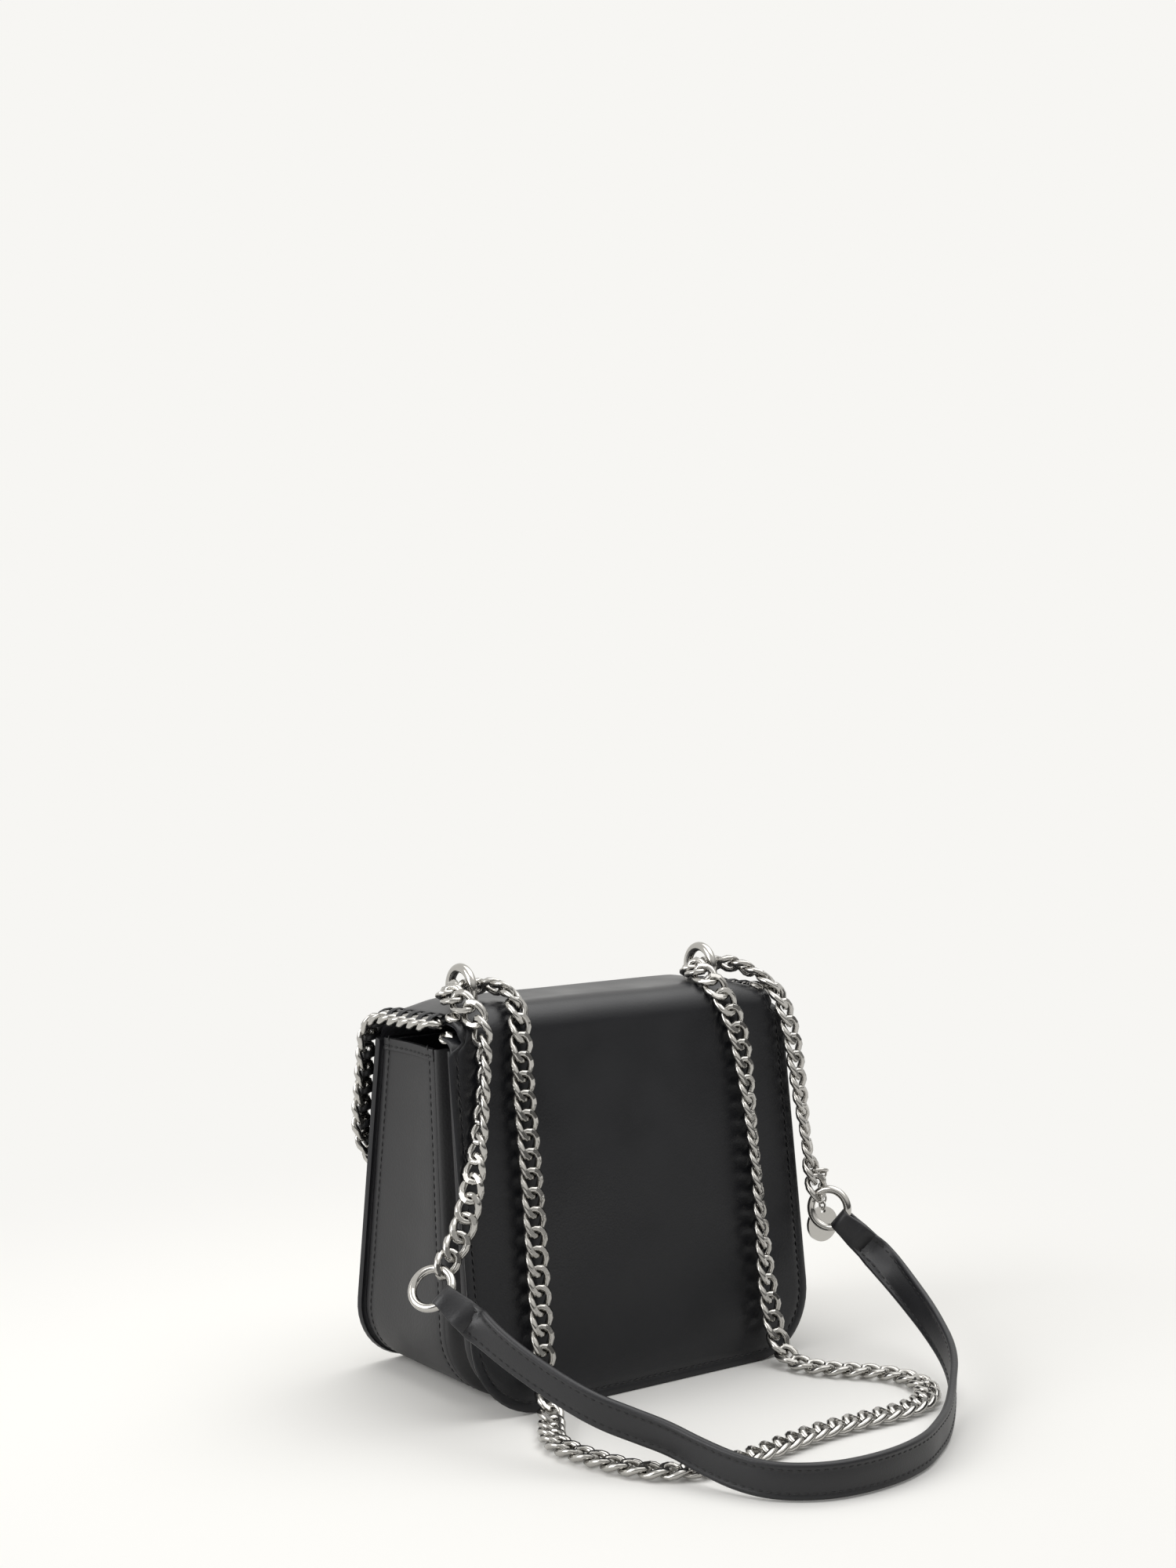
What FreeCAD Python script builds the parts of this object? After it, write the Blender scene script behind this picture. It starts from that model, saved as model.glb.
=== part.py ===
"""Chain shoulder bag.

A wedge-shaped leather bag with a main compartment, a bellows pocket behind it and a flap that folds
over from the back. A curb chain runs from one end of a leather shoulder strap through two metal
arches on the flap and back to the other end of the strap. A second length of the chain trims the
flap's edge. Millimetres, +Z up, flap towards -Y, origin on the floor under the middle of the base.
"""
import FreeCAD
import Part
import Sketcher
import math
import os

Vector = FreeCAD.Vector

SIZES = {
    # body of the bag
    "bag_width": 180,
    "base_depth": 101,
    "mouth_depth": 58.5,
    "mouth_height": 148,
    "corner_radius": 31,
    "leather": 2.2,
    "lining": 0.8,
    "layer_gap": 0.1,
    "gusset_inset": 3,
    "divider_thickness": 1.6,
    "divider_base": 22.6,
    "divider_mouth": 12.6,
    "bellows_leather": 1.8,
    "bellows_fold": 8,
    "back_height": 151.8,
    "board_thickness": 1.4,
    "board_inset": 5,
    # flap
    "flap_inset": 6,
    "flap_split_gap": 0.5,
    "flap_standoff": 7,
    "ridge_height": 166,
    "ridge_radius": 13,
    "top_fall": 0.0437,
    "front_radius": 22,
    "hem_height": 90,
    "hem_radius": 25,
    "flap_lining_inset": 1,
    # arches, their backing plates and nuts
    "arch_inset": 25,
    "arch_span": 17.7,
    "arch_wire": 4.2,
    "arch_leg": 5.2,
    "arch_tail": 7.4,
    "bolt_clearance": 0.15,
    "plate_length": 30,
    "plate_width": 9,
    "plate_thickness": 1.2,
    "nut_radius": 3.6,
    "nut_height": 2,
    # rivets at the two rear ends of the trim
    "rivet_angle": 18,
    "rivet_radius": 3.2,
    "rivet_head": 0.9,
    "rivet_shank": 1.1,
    "rivet_edge": 3.8,
    # magnetic snap
    "snap_radius": 9,
    "snap_margin": 1,
    "snap_gap": 0.4,
    # curb chain: half length, half width and rise of one link's centre line
    "link_pitch": 8,
    "link_half_length": 5.55,
    "link_half_width": 4.2,
    "link_rise": 1.55,
    "link_wire": 2.2,
    "trim_clearance": 0.35,
    "trim_tilt": 27,
    "trim_start": 19,
    # rings and shoulder strap
    "ring_radius": 8.5,
    "ring_wire": 3.6,
    "ring_clearance": 0.25,
    "strap_width": 14,
    "strap_thickness": 3,
    "strap_end_width": 9.5,
    "loop_wall": 1.6,
    "loop_length": 10,
    # charm
    "jump_radius": 4.6,
    "jump_wire": 1.4,
    "jump_droop": 12,
    "jump_lean": 25,
    "small_ring_radius": 2,
    "small_ring_wire": 1,
    "small_ring_count": 6,
    "charm_height": 83,
    "charm_radius": 8,
    "charm_thickness": 1.5,
    "charm_hole": 1.3,
    "charm_hole_offset": 6,
    "charm_slack": 0.3,
}

# Route of the shoulder chain from the left ring to the right ring: a point of its control line and the
# way that the flat side of a link looks there.
CHAIN_ROUTE = [
    # from the left ring up to the left arch
    ((104.5, 45.8, 64), (0, 1, 0.3)),
    ((99.5, 45.2, 69.5), (0.1, 1, 0.3)),
    ((93, 44.2, 78.5), (0.2, 1, 0.2)),
    ((88.5, 42.6, 91), (0.3, 1, 0.15)),
    ((81.8, 39, 117), (0.5, 1, 0.15)),
    ((77.5, 35.8, 140), (0.6, 1, 0.3)),
    ((76.8, 34.3, 152), (0.6, 0.8, 0.5)),
    ((77.2, 31.8, 163.5), (0.6, 0.5, 0.7)),
    ((78.6, 23.5, 171.3), (0.6, 0.2, 0.8)),
    # through the left arch
    ((79.7, 14.8, 171.6), (0.6, 0, 0.8)),
    ((76.8, 5.9, 171), (0.5, -0.35, 0.8)),
    ((69.2, 0.35, 170.5), (0.2, -0.5, 0.8)),
    ((59.8, 0.35, 170.5), (-0.2, -0.5, 0.8)),
    ((52.2, 5.9, 171), (-0.5, -0.35, 0.8)),
    ((49.3, 14.8, 171.3), (-0.6, 0, 0.8)),
    ((51, 24, 170.8), (-0.4, 0.3, 0.9)),
    ((54.5, 31.8, 164), (-0.2, 0.8, 0.6)),
    # down the back to the floor
    ((57, 34.2, 152), (0, 1, 0.2)),
    ((57.8, 36.2, 137), (0, 1, 0.15)),
    ((57.9, 43, 89), (0, 1, 0.15)),
    ((58.8, 49.9, 41), (0, 1, 0.15)),
    ((59.2, 52.3, 27), (0, 1, 0.2)),
    ((60.2, 55.2, 15), (0, 0.9, 0.4)),
    ((62.5, 61, 6.8), (0, 0.6, 0.7)),
    ((66.5, 69, 3.2), (0, 0.2, 1)),
    # along the floor
    ((72.5, 77, 3), (0, 0, 1)),
    ((79, 87, 3), (0, 0, 1)),
    ((81.5, 99, 3), (0, 0, 1)),
    ((79, 113, 3), (0, 0, 1)),
    ((75, 128, 3), (0, 0, 1)),
    ((67.5, 141, 3), (0, 0, 1)),
    ((54, 147.5, 3), (0, 0, 1)),
    ((39, 149, 3), (0, 0, 1)),
    ((24, 147.6, 3), (0, 0, 1)),
    ((9, 145, 3), (0, 0, 1)),
    ((-8, 142, 3), (0, 0, 1)),
    ((-24, 141.3, 3), (0, 0, 1)),
    ((-40, 142, 3), (0, 0, 1)),
    ((-57, 142.8, 3), (0, 0, 1)),
    ((-73, 139.5, 3), (0, 0, 1)),
    ((-85, 129.5, 3), (0, 0, 1)),
    ((-89.5, 116, 3), (0, 0, 1)),
    ((-86.5, 102, 3), (0, 0, 1)),
    ((-77, 91, 3), (0, 0, 1)),
    ((-68, 81, 3), (0, 0, 1)),
    ((-63.5, 70.5, 3.1), (0, 0.2, 1)),
    # up the back to the right arch
    ((-63, 62, 5.6), (0, 0.6, 0.8)),
    ((-63, 56, 13.2), (0, 0.9, 0.4)),
    ((-62.6, 52.6, 26), (0, 1, 0.2)),
    ((-62.2, 50, 40), (0, 1, 0.15)),
    ((-62.2, 43.1, 88), (0, 1, 0.15)),
    ((-60.8, 36.3, 136), (0, 1, 0.15)),
    ((-58, 34.3, 151), (0.1, 1, 0.25)),
    ((-54, 31.8, 163.5), (0.3, 0.8, 0.6)),
    ((-51.6, 24, 170.8), (0.5, 0.2, 0.9)),
    # through the right arch
    ((-50.8, 14.8, 171.3), (0.6, 0, 0.8)),
    ((-53.7, 5.9, 171), (0.5, -0.35, 0.8)),
    ((-61.3, 0.35, 170.5), (0.2, -0.5, 0.8)),
    ((-70.7, 0.35, 170.5), (-0.2, -0.5, 0.8)),
    ((-78.3, 5.9, 171), (-0.5, -0.35, 0.8)),
    ((-82.2, 14.2, 171.8), (-0.6, 0, 0.8)),
    ((-85.3, 23.5, 171.5), (-0.6, 0.3, 0.8)),
    ((-87.5, 31.8, 164.5), (-0.5, 0.7, 0.6)),
    # down beside the back panel to the right ring
    ((-89, 34.4, 152), (-0.4, 1, 0.3)),
    ((-90.2, 36, 139), (-0.2, 1, 0.2)),
    ((-91.4, 39.6, 113), (0.1, 1, 0.15)),
    ((-92.6, 43.4, 89), (0.1, 1, 0.15)),
    ((-93, 45.8, 79), (0.1, 1, 0.25)),
    ((-93.8, 48.6, 71), (0.1, 1, 0.35)),
    ((-94.6, 51.2, 65), (0.1, 1, 0.4)),
]

# Route of the shoulder strap between its two folded ends: a point of its control line and the way
# that its width runs there.
STRAP_ROUTE = [
    ((102, 69, 47.5), (-0.1, 0.2, 0.95)),
    ((97.5, 83, 39.5), (0.15, 0, 0.95)),
    ((89, 101, 30), (0.22, 0, 0.97)),
    ((80, 117, 22.5), (0.22, 0, 0.97)),
    ((70, 130, 18), (0.2, 0, 0.97)),
    ((63, 142, 15), (0.2, 0, 1)),
    ((59, 155, 11.5), (0.1, 0, 1)),
    ((54, 170, 8.5), (0, 0, 1)),
    ((47, 183, 7.3), (0, 0, 1)),
    ((33, 193.5, 7.3), (0, 0, 1)),
    ((16, 197.5, 7.3), (0, 0, 1)),
    ((-4, 197, 7.3), (0, 0, 1)),
    ((-22, 192, 7.3), (0, 0, 1)),
    ((-36, 184, 7.3), (0, 0, 1)),
    ((-50, 175, 7.3), (0, 0, 1)),
    ((-68, 160, 8.8), (0, 0, 1)),
    ((-89, 140, 15.5), (-0.1, 0, 1)),
    ((-101, 115, 24.5), (-0.2, 0, 1)),
    ((-106, 90, 36.5), (-0.35, 0.1, 1)),
    ((-106, 77, 44.5), (-0.6, -0.1, 0.75)),
]
# bag width that the routes are laid out for, and the half width of their middle, which stretches with it
ROUTE_WIDTH = 180
ROUTE_MIDDLE = 45
# sections of the strap's loft, and the part of its route over which an end widens
STRAP_STATIONS = 48
STRAP_TAPER = 1.2
# flat faces round a link's oval and round its wire
LINK_TURNS = 10
LINK_CORNERS = 4
# height under which the chain counts as lying on the floor
FLOOR_LEVEL = 6
# step and halvings of the search for a link's next joint, and the spacing of points on the trim's path
SEARCH_STEP = 0.05
SEARCH_HALVINGS = 40
PATH_STEP = 0.2
NEAR = 1e-4

doc = FreeCAD.newDocument("ChainShoulderBag")
sheet = doc.addObject("Spreadsheet::Sheet", "Sizes")
for row, (alias, number) in enumerate(SIZES.items(), start=1):
    sheet.set(f"A{row}", alias)
    sheet.set(f"B{row}", str(number))
    sheet.setAlias(f"B{row}", alias)
doc.recompute()
sub_parts = []


# Expressions for the side view of the bag


def value(expression):
    """Number that an expression over the sheet gives."""
    return float(sheet.evalExpression(expression))


def size(alias):
    """Number in the sheet's cell of that name."""
    return float(sheet.get(alias))


# fall of the front and back per millimetre of height, and the stretch of a thickness laid on them
LEAN = "((Sizes.base_depth - Sizes.mouth_depth) / (2 * Sizes.mouth_height))"
LEAN_STRETCH = f"sqrt(1 + {LEAN} ^ 2)"
TOP_STRETCH = "sqrt(1 + Sizes.top_fall ^ 2)"


def back_y(height, inset="0"):
    """Depth of the back's outer face at a height, or of a face inset from it."""
    return f"(Sizes.base_depth / 2 - ({inset}) * {LEAN_STRETCH} - {LEAN} * ({height}))"


def front_y(height, inset="0"):
    """Depth of the front's outer face at a height, or of a face inset from it."""
    return f"(-Sizes.base_depth / 2 + ({inset}) * {LEAN_STRETCH} + {LEAN} * ({height}))"


def divider_y(height, behind="0"):
    """Depth of the divider's front face at a height, or of a face behind it."""
    fall = "(Sizes.divider_base - Sizes.divider_mouth) / Sizes.mouth_height"
    return f"(Sizes.divider_base + ({behind}) - {fall} * ({height}))"


RIDGE_Y = back_y("Sizes.ridge_height")
FLAP_OUT = "(Sizes.flap_standoff + Sizes.lining + Sizes.layer_gap + Sizes.leather)"


def top_z(depth_place, inset="0"):
    """Height of the flap's top at a depth, or of a face under it."""
    fall = f"Sizes.top_fall * ({RIDGE_Y} - ({depth_place}))"
    return f"(Sizes.ridge_height - ({inset}) * {TOP_STRETCH} - {fall})"


def drop_y(height, inset="0"):
    """Depth of the flap's hanging front at a height, or of a face behind it."""
    return front_y(height, f"({inset}) - {FLAP_OUT}")


def ridge_corner(inset):
    """Where the flap's rear rise and its top meet, for a layer inset from the outer face."""
    level = top_z("0", inset)
    across = f"(({back_y('0', inset)} - {LEAN} * {level}) / (1 + {LEAN} * Sizes.top_fall))"
    return across, f"({level} + Sizes.top_fall * {across})"


def front_corner(inset):
    """Where the flap's top and its hanging front meet, for a layer inset from the outer face."""
    level = top_z("0", inset)
    across = f"(({drop_y('0', inset)} + {LEAN} * {level}) / (1 - {LEAN} * Sizes.top_fall))"
    return across, f"({level} + Sizes.top_fall * {across})"


# Building steps that the pieces share


def new_body(label):
    body = doc.addObject("PartDesign::Body", label)
    body.Label = label
    return body


def finish_part(item, label):
    """Count an object as a sub-part under its own name."""
    item.Label = label
    sub_parts.append(item)
    return item


def pin(sketch, kind, axis, index, position, expression):
    """Tie one coordinate of a sketch point to an expression."""
    number = value(expression)
    if abs(number) < NEAR:
        sketch.addConstraint(Sketcher.Constraint("PointOnObject", index, position, axis))
        return
    place = sketch.addConstraint(Sketcher.Constraint(kind, -1, 1, index, position, number))
    sketch.setExpression(f"Constraints[{place}]", expression)


def outline(body, name, role, corners):
    """Closed straight-sided sketch; a corner is a pair of expressions."""
    sketch = body.newObject("Sketcher::SketchObject", name)
    plane = next(item for item in body.Origin.OriginFeatures if item.Role == role)
    sketch.AttachmentSupport = [(plane, "")]
    sketch.MapMode = "FlatFace"
    points = [Vector(value(across), value(up), 0) for across, up in corners]
    count = len(points)
    for index in range(count):
        sketch.addGeometry(Part.LineSegment(points[index], points[(index + 1) % count]), False)
    for index in range(count):
        sketch.addConstraint(Sketcher.Constraint("Coincident", index, 2, (index + 1) % count, 1))
    for index, (across, up) in enumerate(corners):
        pin(sketch, "DistanceX", -2, index, 1, across)
        pin(sketch, "DistanceY", -1, index, 1, up)
    return sketch


def extrude(body, kind, sketch, width):
    """Pad or Pocket of a side profile, evenly to both sides of the bag's middle."""
    feature = body.newObject(f"PartDesign::{kind}", f"{sketch.Name}_{kind}")
    feature.Profile = sketch
    feature.SideType = "Symmetric"
    feature.setExpression("Length", width)
    doc.recompute()
    return feature


def round_edges(body, base, chosen, radius):
    """Fillet of the edges whose ends pass the test."""
    names = []
    for index, edge in enumerate(base.Shape.Edges, start=1):
        if chosen([end.Point for end in edge.Vertexes]):
            names.append(f"Edge{index}")
    fillet = body.newObject("PartDesign::Fillet", f"{body.Name}_Fillet")
    fillet.Base = (base, names)
    fillet.setExpression("Radius", radius)
    doc.recompute()
    return fillet


def lower_corners(width, low):
    """Test for the edges at both lower corners of a profile padded to a width."""
    half = value(width) / 2
    level = value(low)

    def at_corner(ends):
        spots = [Vector(abs(end.x), 0, end.z) for end in ends]
        same_side = abs(ends[0].x - ends[-1].x) < NEAR
        return same_side and all(spot.isEqual(Vector(half, 0, level), NEAR) for spot in spots)

    return at_corner


def along_corner(corner):
    """Test for the edges that run across the bag at a corner of the side profile."""
    spot = Vector(0, value(corner[0]), value(corner[1]))
    return lambda ends: all(Vector(0, end.y, end.z).isEqual(spot, NEAR) for end in ends)


def place(item, x="0", y="0", z="0"):
    for axis, expression in zip("xyz", (x, y, z)):
        item.setExpression(f"Placement.Base.{axis}", expression)


def fuse(name, items):
    joined = doc.addObject("Part::MultiFuse", name)
    joined.Shapes = items
    return joined


def boolean(kind, name, base, tool):
    """Cut or Common of two objects."""
    result = doc.addObject(f"Part::{kind}", name)
    result.Base = base
    result.Tool = tool
    return result


def rounded_block(name, width, low, high, radius):
    """Front view of a panel as a deep block, with its two lower corners rounded."""
    body = new_body(name)
    half = f"(({width}) / 2)"
    corners = [(half, low), (half, high), (f"-{half}", high), (f"-{half}", low)]
    view = outline(body, f"{name}_view", "XZ_Plane", corners)
    padded = extrude(body, "Pad", view, "3 * Sizes.base_depth")
    round_edges(body, padded, lower_corners(width, low), radius)
    return body


def strip(name, corners, width):
    """Side profile padded across the bag."""
    body = new_body(name)
    extrude(body, "Pad", outline(body, f"{name}_profile", "YZ_Plane", corners), width)
    return body


def panel(label, face, layers, width, low, high, radius):
    """Flat sheet on a leaning face, with its two lower corners rounded."""
    outer, inner = layers
    corners = [
        (face(low, outer), low),
        (face(high, outer), high),
        (face(high, inner), high),
        (face(low, inner), low),
    ]
    sheet_strip = strip(f"{label}_strip", corners, width)
    block = rounded_block(f"{label}_block", width, low, high, radius)
    return finish_part(boolean("Common", f"{label}_common", sheet_strip, block), label)


def trough(label, front, rear, inset, thickness):
    """U-shaped strip that makes the sides and the bottom of the main compartment."""
    width = f"(Sizes.bag_width - 2 * ({inset}))"
    low = f"(({inset}) - Sizes.gusset_inset)"
    high = "Sizes.mouth_height"
    radius = f"(Sizes.corner_radius - ({inset}) + Sizes.gusset_inset)"
    corners = [(front(low), low), (front(high), high), (rear(high), high), (rear(low), low)]
    filled = strip(f"{label}_strip", corners, width)
    outside = rounded_block(f"{label}_outside", width, low, high, radius)
    inside = rounded_block(f"{label}_inside", f"({width} - 2 * {thickness})", f"({low} + {thickness})",
                           f"(2 * {high})", f"({radius} - {thickness})")
    solid = boolean("Common", f"{label}_common", filled, outside)
    return finish_part(boolean("Cut", f"{label}_cut", solid, inside), label)


# Body of the bag

WALL = "(Sizes.leather + Sizes.layer_gap)"
LINED_WALL = f"({WALL} + Sizes.lining)"
LINING_WIDTH = f"(Sizes.bag_width - 2 * (Sizes.gusset_inset + {LINED_WALL} + Sizes.layer_gap))"
LINING_LOW = f"({LINED_WALL} + Sizes.layer_gap)"
LINING_RADIUS = f"(Sizes.corner_radius - {LINING_LOW})"
DIVIDER_LINING = "(Sizes.lining + Sizes.layer_gap)"

DIVIDER_WIDTH = "(Sizes.bag_width - 2 * Sizes.gusset_inset)"
MOUTH = "Sizes.mouth_height"
CORNER = "Sizes.corner_radius"


def behind_front(height):
    """Depth at which the compartment's strips meet the front panel."""
    return front_y(height, WALL)


def before_divider(height):
    """Depth at which the compartment's strips meet the divider."""
    return divider_y(height, "-Sizes.layer_gap")


panel("front_panel", front_y, ("0", "Sizes.leather"), "Sizes.bag_width", "0", MOUTH, CORNER)
panel("back_panel", back_y, ("0", "Sizes.leather"), "Sizes.bag_width", "0", "Sizes.back_height", CORNER)
panel("divider_panel", divider_y, ("0", "Sizes.divider_thickness"), DIVIDER_WIDTH, "0", MOUTH, CORNER)
trough("main_gusset", behind_front, before_divider, "Sizes.gusset_inset", "Sizes.leather")
trough("gusset_lining", behind_front, before_divider, f"(Sizes.gusset_inset + {WALL})", "Sizes.lining")
panel("front_lining", front_y, (WALL, LINED_WALL), LINING_WIDTH, LINING_LOW, MOUTH, LINING_RADIUS)
panel("divider_lining", divider_y, ("-Sizes.layer_gap", f"-{DIVIDER_LINING}"), LINING_WIDTH, LINING_LOW,
      MOUTH, LINING_RADIUS)


def base_board():
    """Stiffening board that lies on the lining of the bottom."""
    low = LINING_LOW
    high = f"({low} + Sizes.board_thickness)"
    front = f"({front_y(low, LINED_WALL)} + Sizes.board_thickness)"
    rear = f"({divider_y(high, f'-{DIVIDER_LINING}')} - Sizes.board_thickness)"
    body = new_body("base_board")
    corners = [(front, low), (front, high), (rear, high), (rear, low)]
    width = "Sizes.bag_width - 2 * (Sizes.corner_radius + Sizes.board_inset)"
    extrude(body, "Pad", outline(body, "board_profile", "YZ_Plane", corners), width)
    return finish_part(body, "base_board")


base_board()


def bellows_band(face, inset):
    """Outline of the bellows' leather where it crosses one of the leaning planes of the rear pocket."""
    foot, head = value(face("0")), value(face("Sizes.mouth_height"))
    high = size("mouth_height")
    thickness = size("bellows_leather")
    half = size("bag_width") / 2 - size("gusset_inset") - inset
    radius = size("corner_radius") - inset
    lean = (head - foot) / high

    def at(x, z):
        return Vector(x, foot + lean * z, z)

    def bow(side, low, reach, turn):
        """Rounded lower corner, from the side to the bottom."""
        middle = (reach - turn, low + turn)
        chord = turn * math.sqrt(0.5)
        return Part.Arc(at(side * reach, low + turn), at(side * (middle[0] + chord), middle[1] - chord),
                        at(side * middle[0], low)).toShape()

    def line(start, end):
        return Part.LineSegment(start, end).toShape()

    inner, inner_turn, inner_low = half - thickness, radius - thickness, inset + thickness
    edges = [
        line(at(half, high), at(half, inset + radius)),
        bow(1, inset, half, radius),
        line(at(half - radius, inset), at(radius - half, inset)),
        bow(-1, inset, half, radius),
        line(at(-half, inset + radius), at(-half, high)),
        line(at(-half, high), at(-inner, high)),
        line(at(-inner, high), at(-inner, inner_low + inner_turn)),
        bow(-1, inner_low, inner, inner_turn),
        line(at(inner_turn - inner, inner_low), at(inner - inner_turn, inner_low)),
        bow(1, inner_low, inner, inner_turn),
        line(at(inner, inner_low + inner_turn), at(inner, high)),
        line(at(inner, high), at(half, high)),
    ]
    return Part.Wire(edges)


def rear_gusset():
    """Bellows of the rear pocket: a strip round its sides and bottom, folded inwards along its middle."""
    behind = "(Sizes.divider_thickness + Sizes.layer_gap)"

    def divider_side(height):
        return divider_y(height, behind)

    def back_side(height):
        return back_y(height, WALL)

    def fold(height):
        return f"(({divider_side(height)} + {back_side(height)}) / 2)"

    bands = [
        bellows_band(divider_side, 0),
        bellows_band(fold, size("bellows_fold")),
        bellows_band(back_side, 0),
    ]
    feature = doc.addObject("Part::Feature", "rear_gusset")
    feature.Shape = Part.makeLoft(bands, True, True)
    return finish_part(feature, "rear_gusset")


rear_gusset()
BELLOWS_INSIDE = "(Sizes.gusset_inset + Sizes.bellows_fold + Sizes.bellows_leather + Sizes.layer_gap)"
panel("back_lining", back_y, (WALL, LINED_WALL), f"(Sizes.bag_width - 2 * {BELLOWS_INSIDE})",
      f"({BELLOWS_INSIDE} - Sizes.gusset_inset)", "Sizes.back_height",
      f"(Sizes.corner_radius + Sizes.gusset_inset - {BELLOWS_INSIDE})")


# Flap

FLAP_LOW = "(Sizes.back_height + Sizes.flap_split_gap)"
FLAP_WIDTH = "(Sizes.bag_width - 2 * Sizes.flap_inset)"
ARCH_X = "(Sizes.bag_width / 2 - Sizes.arch_inset)"
SNAP_HEIGHT = "(Sizes.hem_height + Sizes.snap_radius + Sizes.snap_margin)"


def flap_layer(label, outer, inner, width, low, hem, hem_radius):
    """Sheet folded over the ridge and over the front edge, with rounded corners at its hem."""
    corners = [
        (back_y(low, outer), low),
        ridge_corner(outer),
        front_corner(outer),
        (drop_y(hem, outer), hem),
        (drop_y(hem, inner), hem),
        front_corner(inner),
        ridge_corner(inner),
        (back_y(low, inner), low),
    ]
    body = new_body(label)
    solid = extrude(body, "Pad", outline(body, f"{label}_profile", "YZ_Plane", corners), width)
    for depth in (outer, inner):
        for corner, radius in ((ridge_corner, "Sizes.ridge_radius"), (front_corner, "Sizes.front_radius")):
            solid = round_edges(body, solid, along_corner(corner(depth)), f"({radius} - {depth})")
    block = rounded_block(f"{label}_block", width, hem, "2 * Sizes.ridge_height", hem_radius)
    return boolean("Common", f"{label}_common", body, block)


def cylinder(name, radius, height, middle, direction):
    """Round bar from a point along a direction, with its sizes tied to the sheet."""
    bar = doc.addObject("Part::Cylinder", name)
    bar.setExpression("Radius", radius)
    bar.setExpression("Height", height)
    bar.Placement = FreeCAD.Placement(middle, FreeCAD.Rotation(Vector(0, 0, 1), direction))
    return bar


def group(label, items):
    """Like pieces in one node, each a separate solid."""
    compound = doc.addObject("Part::Compound", label)
    compound.Links = items
    return finish_part(compound, label)


PLATE_OUT = f"({LINED_WALL} + Sizes.layer_gap)"
PLATE_IN = f"({PLATE_OUT} + Sizes.plate_thickness)"
ARCH_LEVEL = f"({top_z('0')} + Sizes.arch_leg)"
BOLT_HOLE = "(Sizes.arch_wire / 2 + Sizes.bolt_clearance)"
SIDES = {"left": 1, "right": -1}


def bolt_holes(name):
    """Four drills through the flap where the legs of the arches pass."""
    drills = []
    for side in SIDES.values():
        for leg in (1, -1):
            drill = doc.addObject("Part::Cylinder", f"{name}_drill")
            drill.setExpression("Radius", BOLT_HOLE)
            drill.setExpression("Height", "Sizes.ridge_height")
            x, y = f"{side} * {ARCH_X}", f"{leg} * Sizes.arch_span / 2"
            place(drill, x, y, "Sizes.hem_height")
            drills.append(drill)
    return drills


def rivet_places():
    """Foot and outward direction of the rivets, on the rounded ridge near each end of the trim."""
    across, up = ridge_corner("Sizes.ridge_radius")
    angle = math.radians(size("rivet_angle"))
    out = Vector(0, math.sin(angle), math.cos(angle))
    x = value(FLAP_WIDTH) / 2 - size("rivet_edge")
    return [(Vector(side * x, value(across), value(up)), out) for side in SIDES.values()]


def flap():
    """Leather and lining of the flap, drilled for the arches and the rivets."""
    drills = bolt_holes("arch")
    bore = "Sizes.rivet_shank + Sizes.bolt_clearance"
    for axis, out in rivet_places():
        drills.append(cylinder("rivet_drill", bore, "2 * Sizes.ridge_radius", axis, out))
    holes = fuse("flap_holes", drills)
    leather = flap_layer("flap_sheet", "0", "Sizes.leather", FLAP_WIDTH, FLAP_LOW,
                         "Sizes.hem_height", "Sizes.hem_radius")
    edge = "Sizes.flap_lining_inset"
    lining = flap_layer("flap_lining_sheet", WALL, LINED_WALL, f"({FLAP_WIDTH} - 2 * {edge})",
                        f"({FLAP_LOW} + {edge})", f"(Sizes.hem_height + {edge})",
                        f"(Sizes.hem_radius - {edge})")
    finish_part(boolean("Cut", "flap_leather_drilled", leather, holes), "flap_leather")
    finish_part(boolean("Cut", "flap_lining_drilled", lining, holes), "flap_lining")


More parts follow.
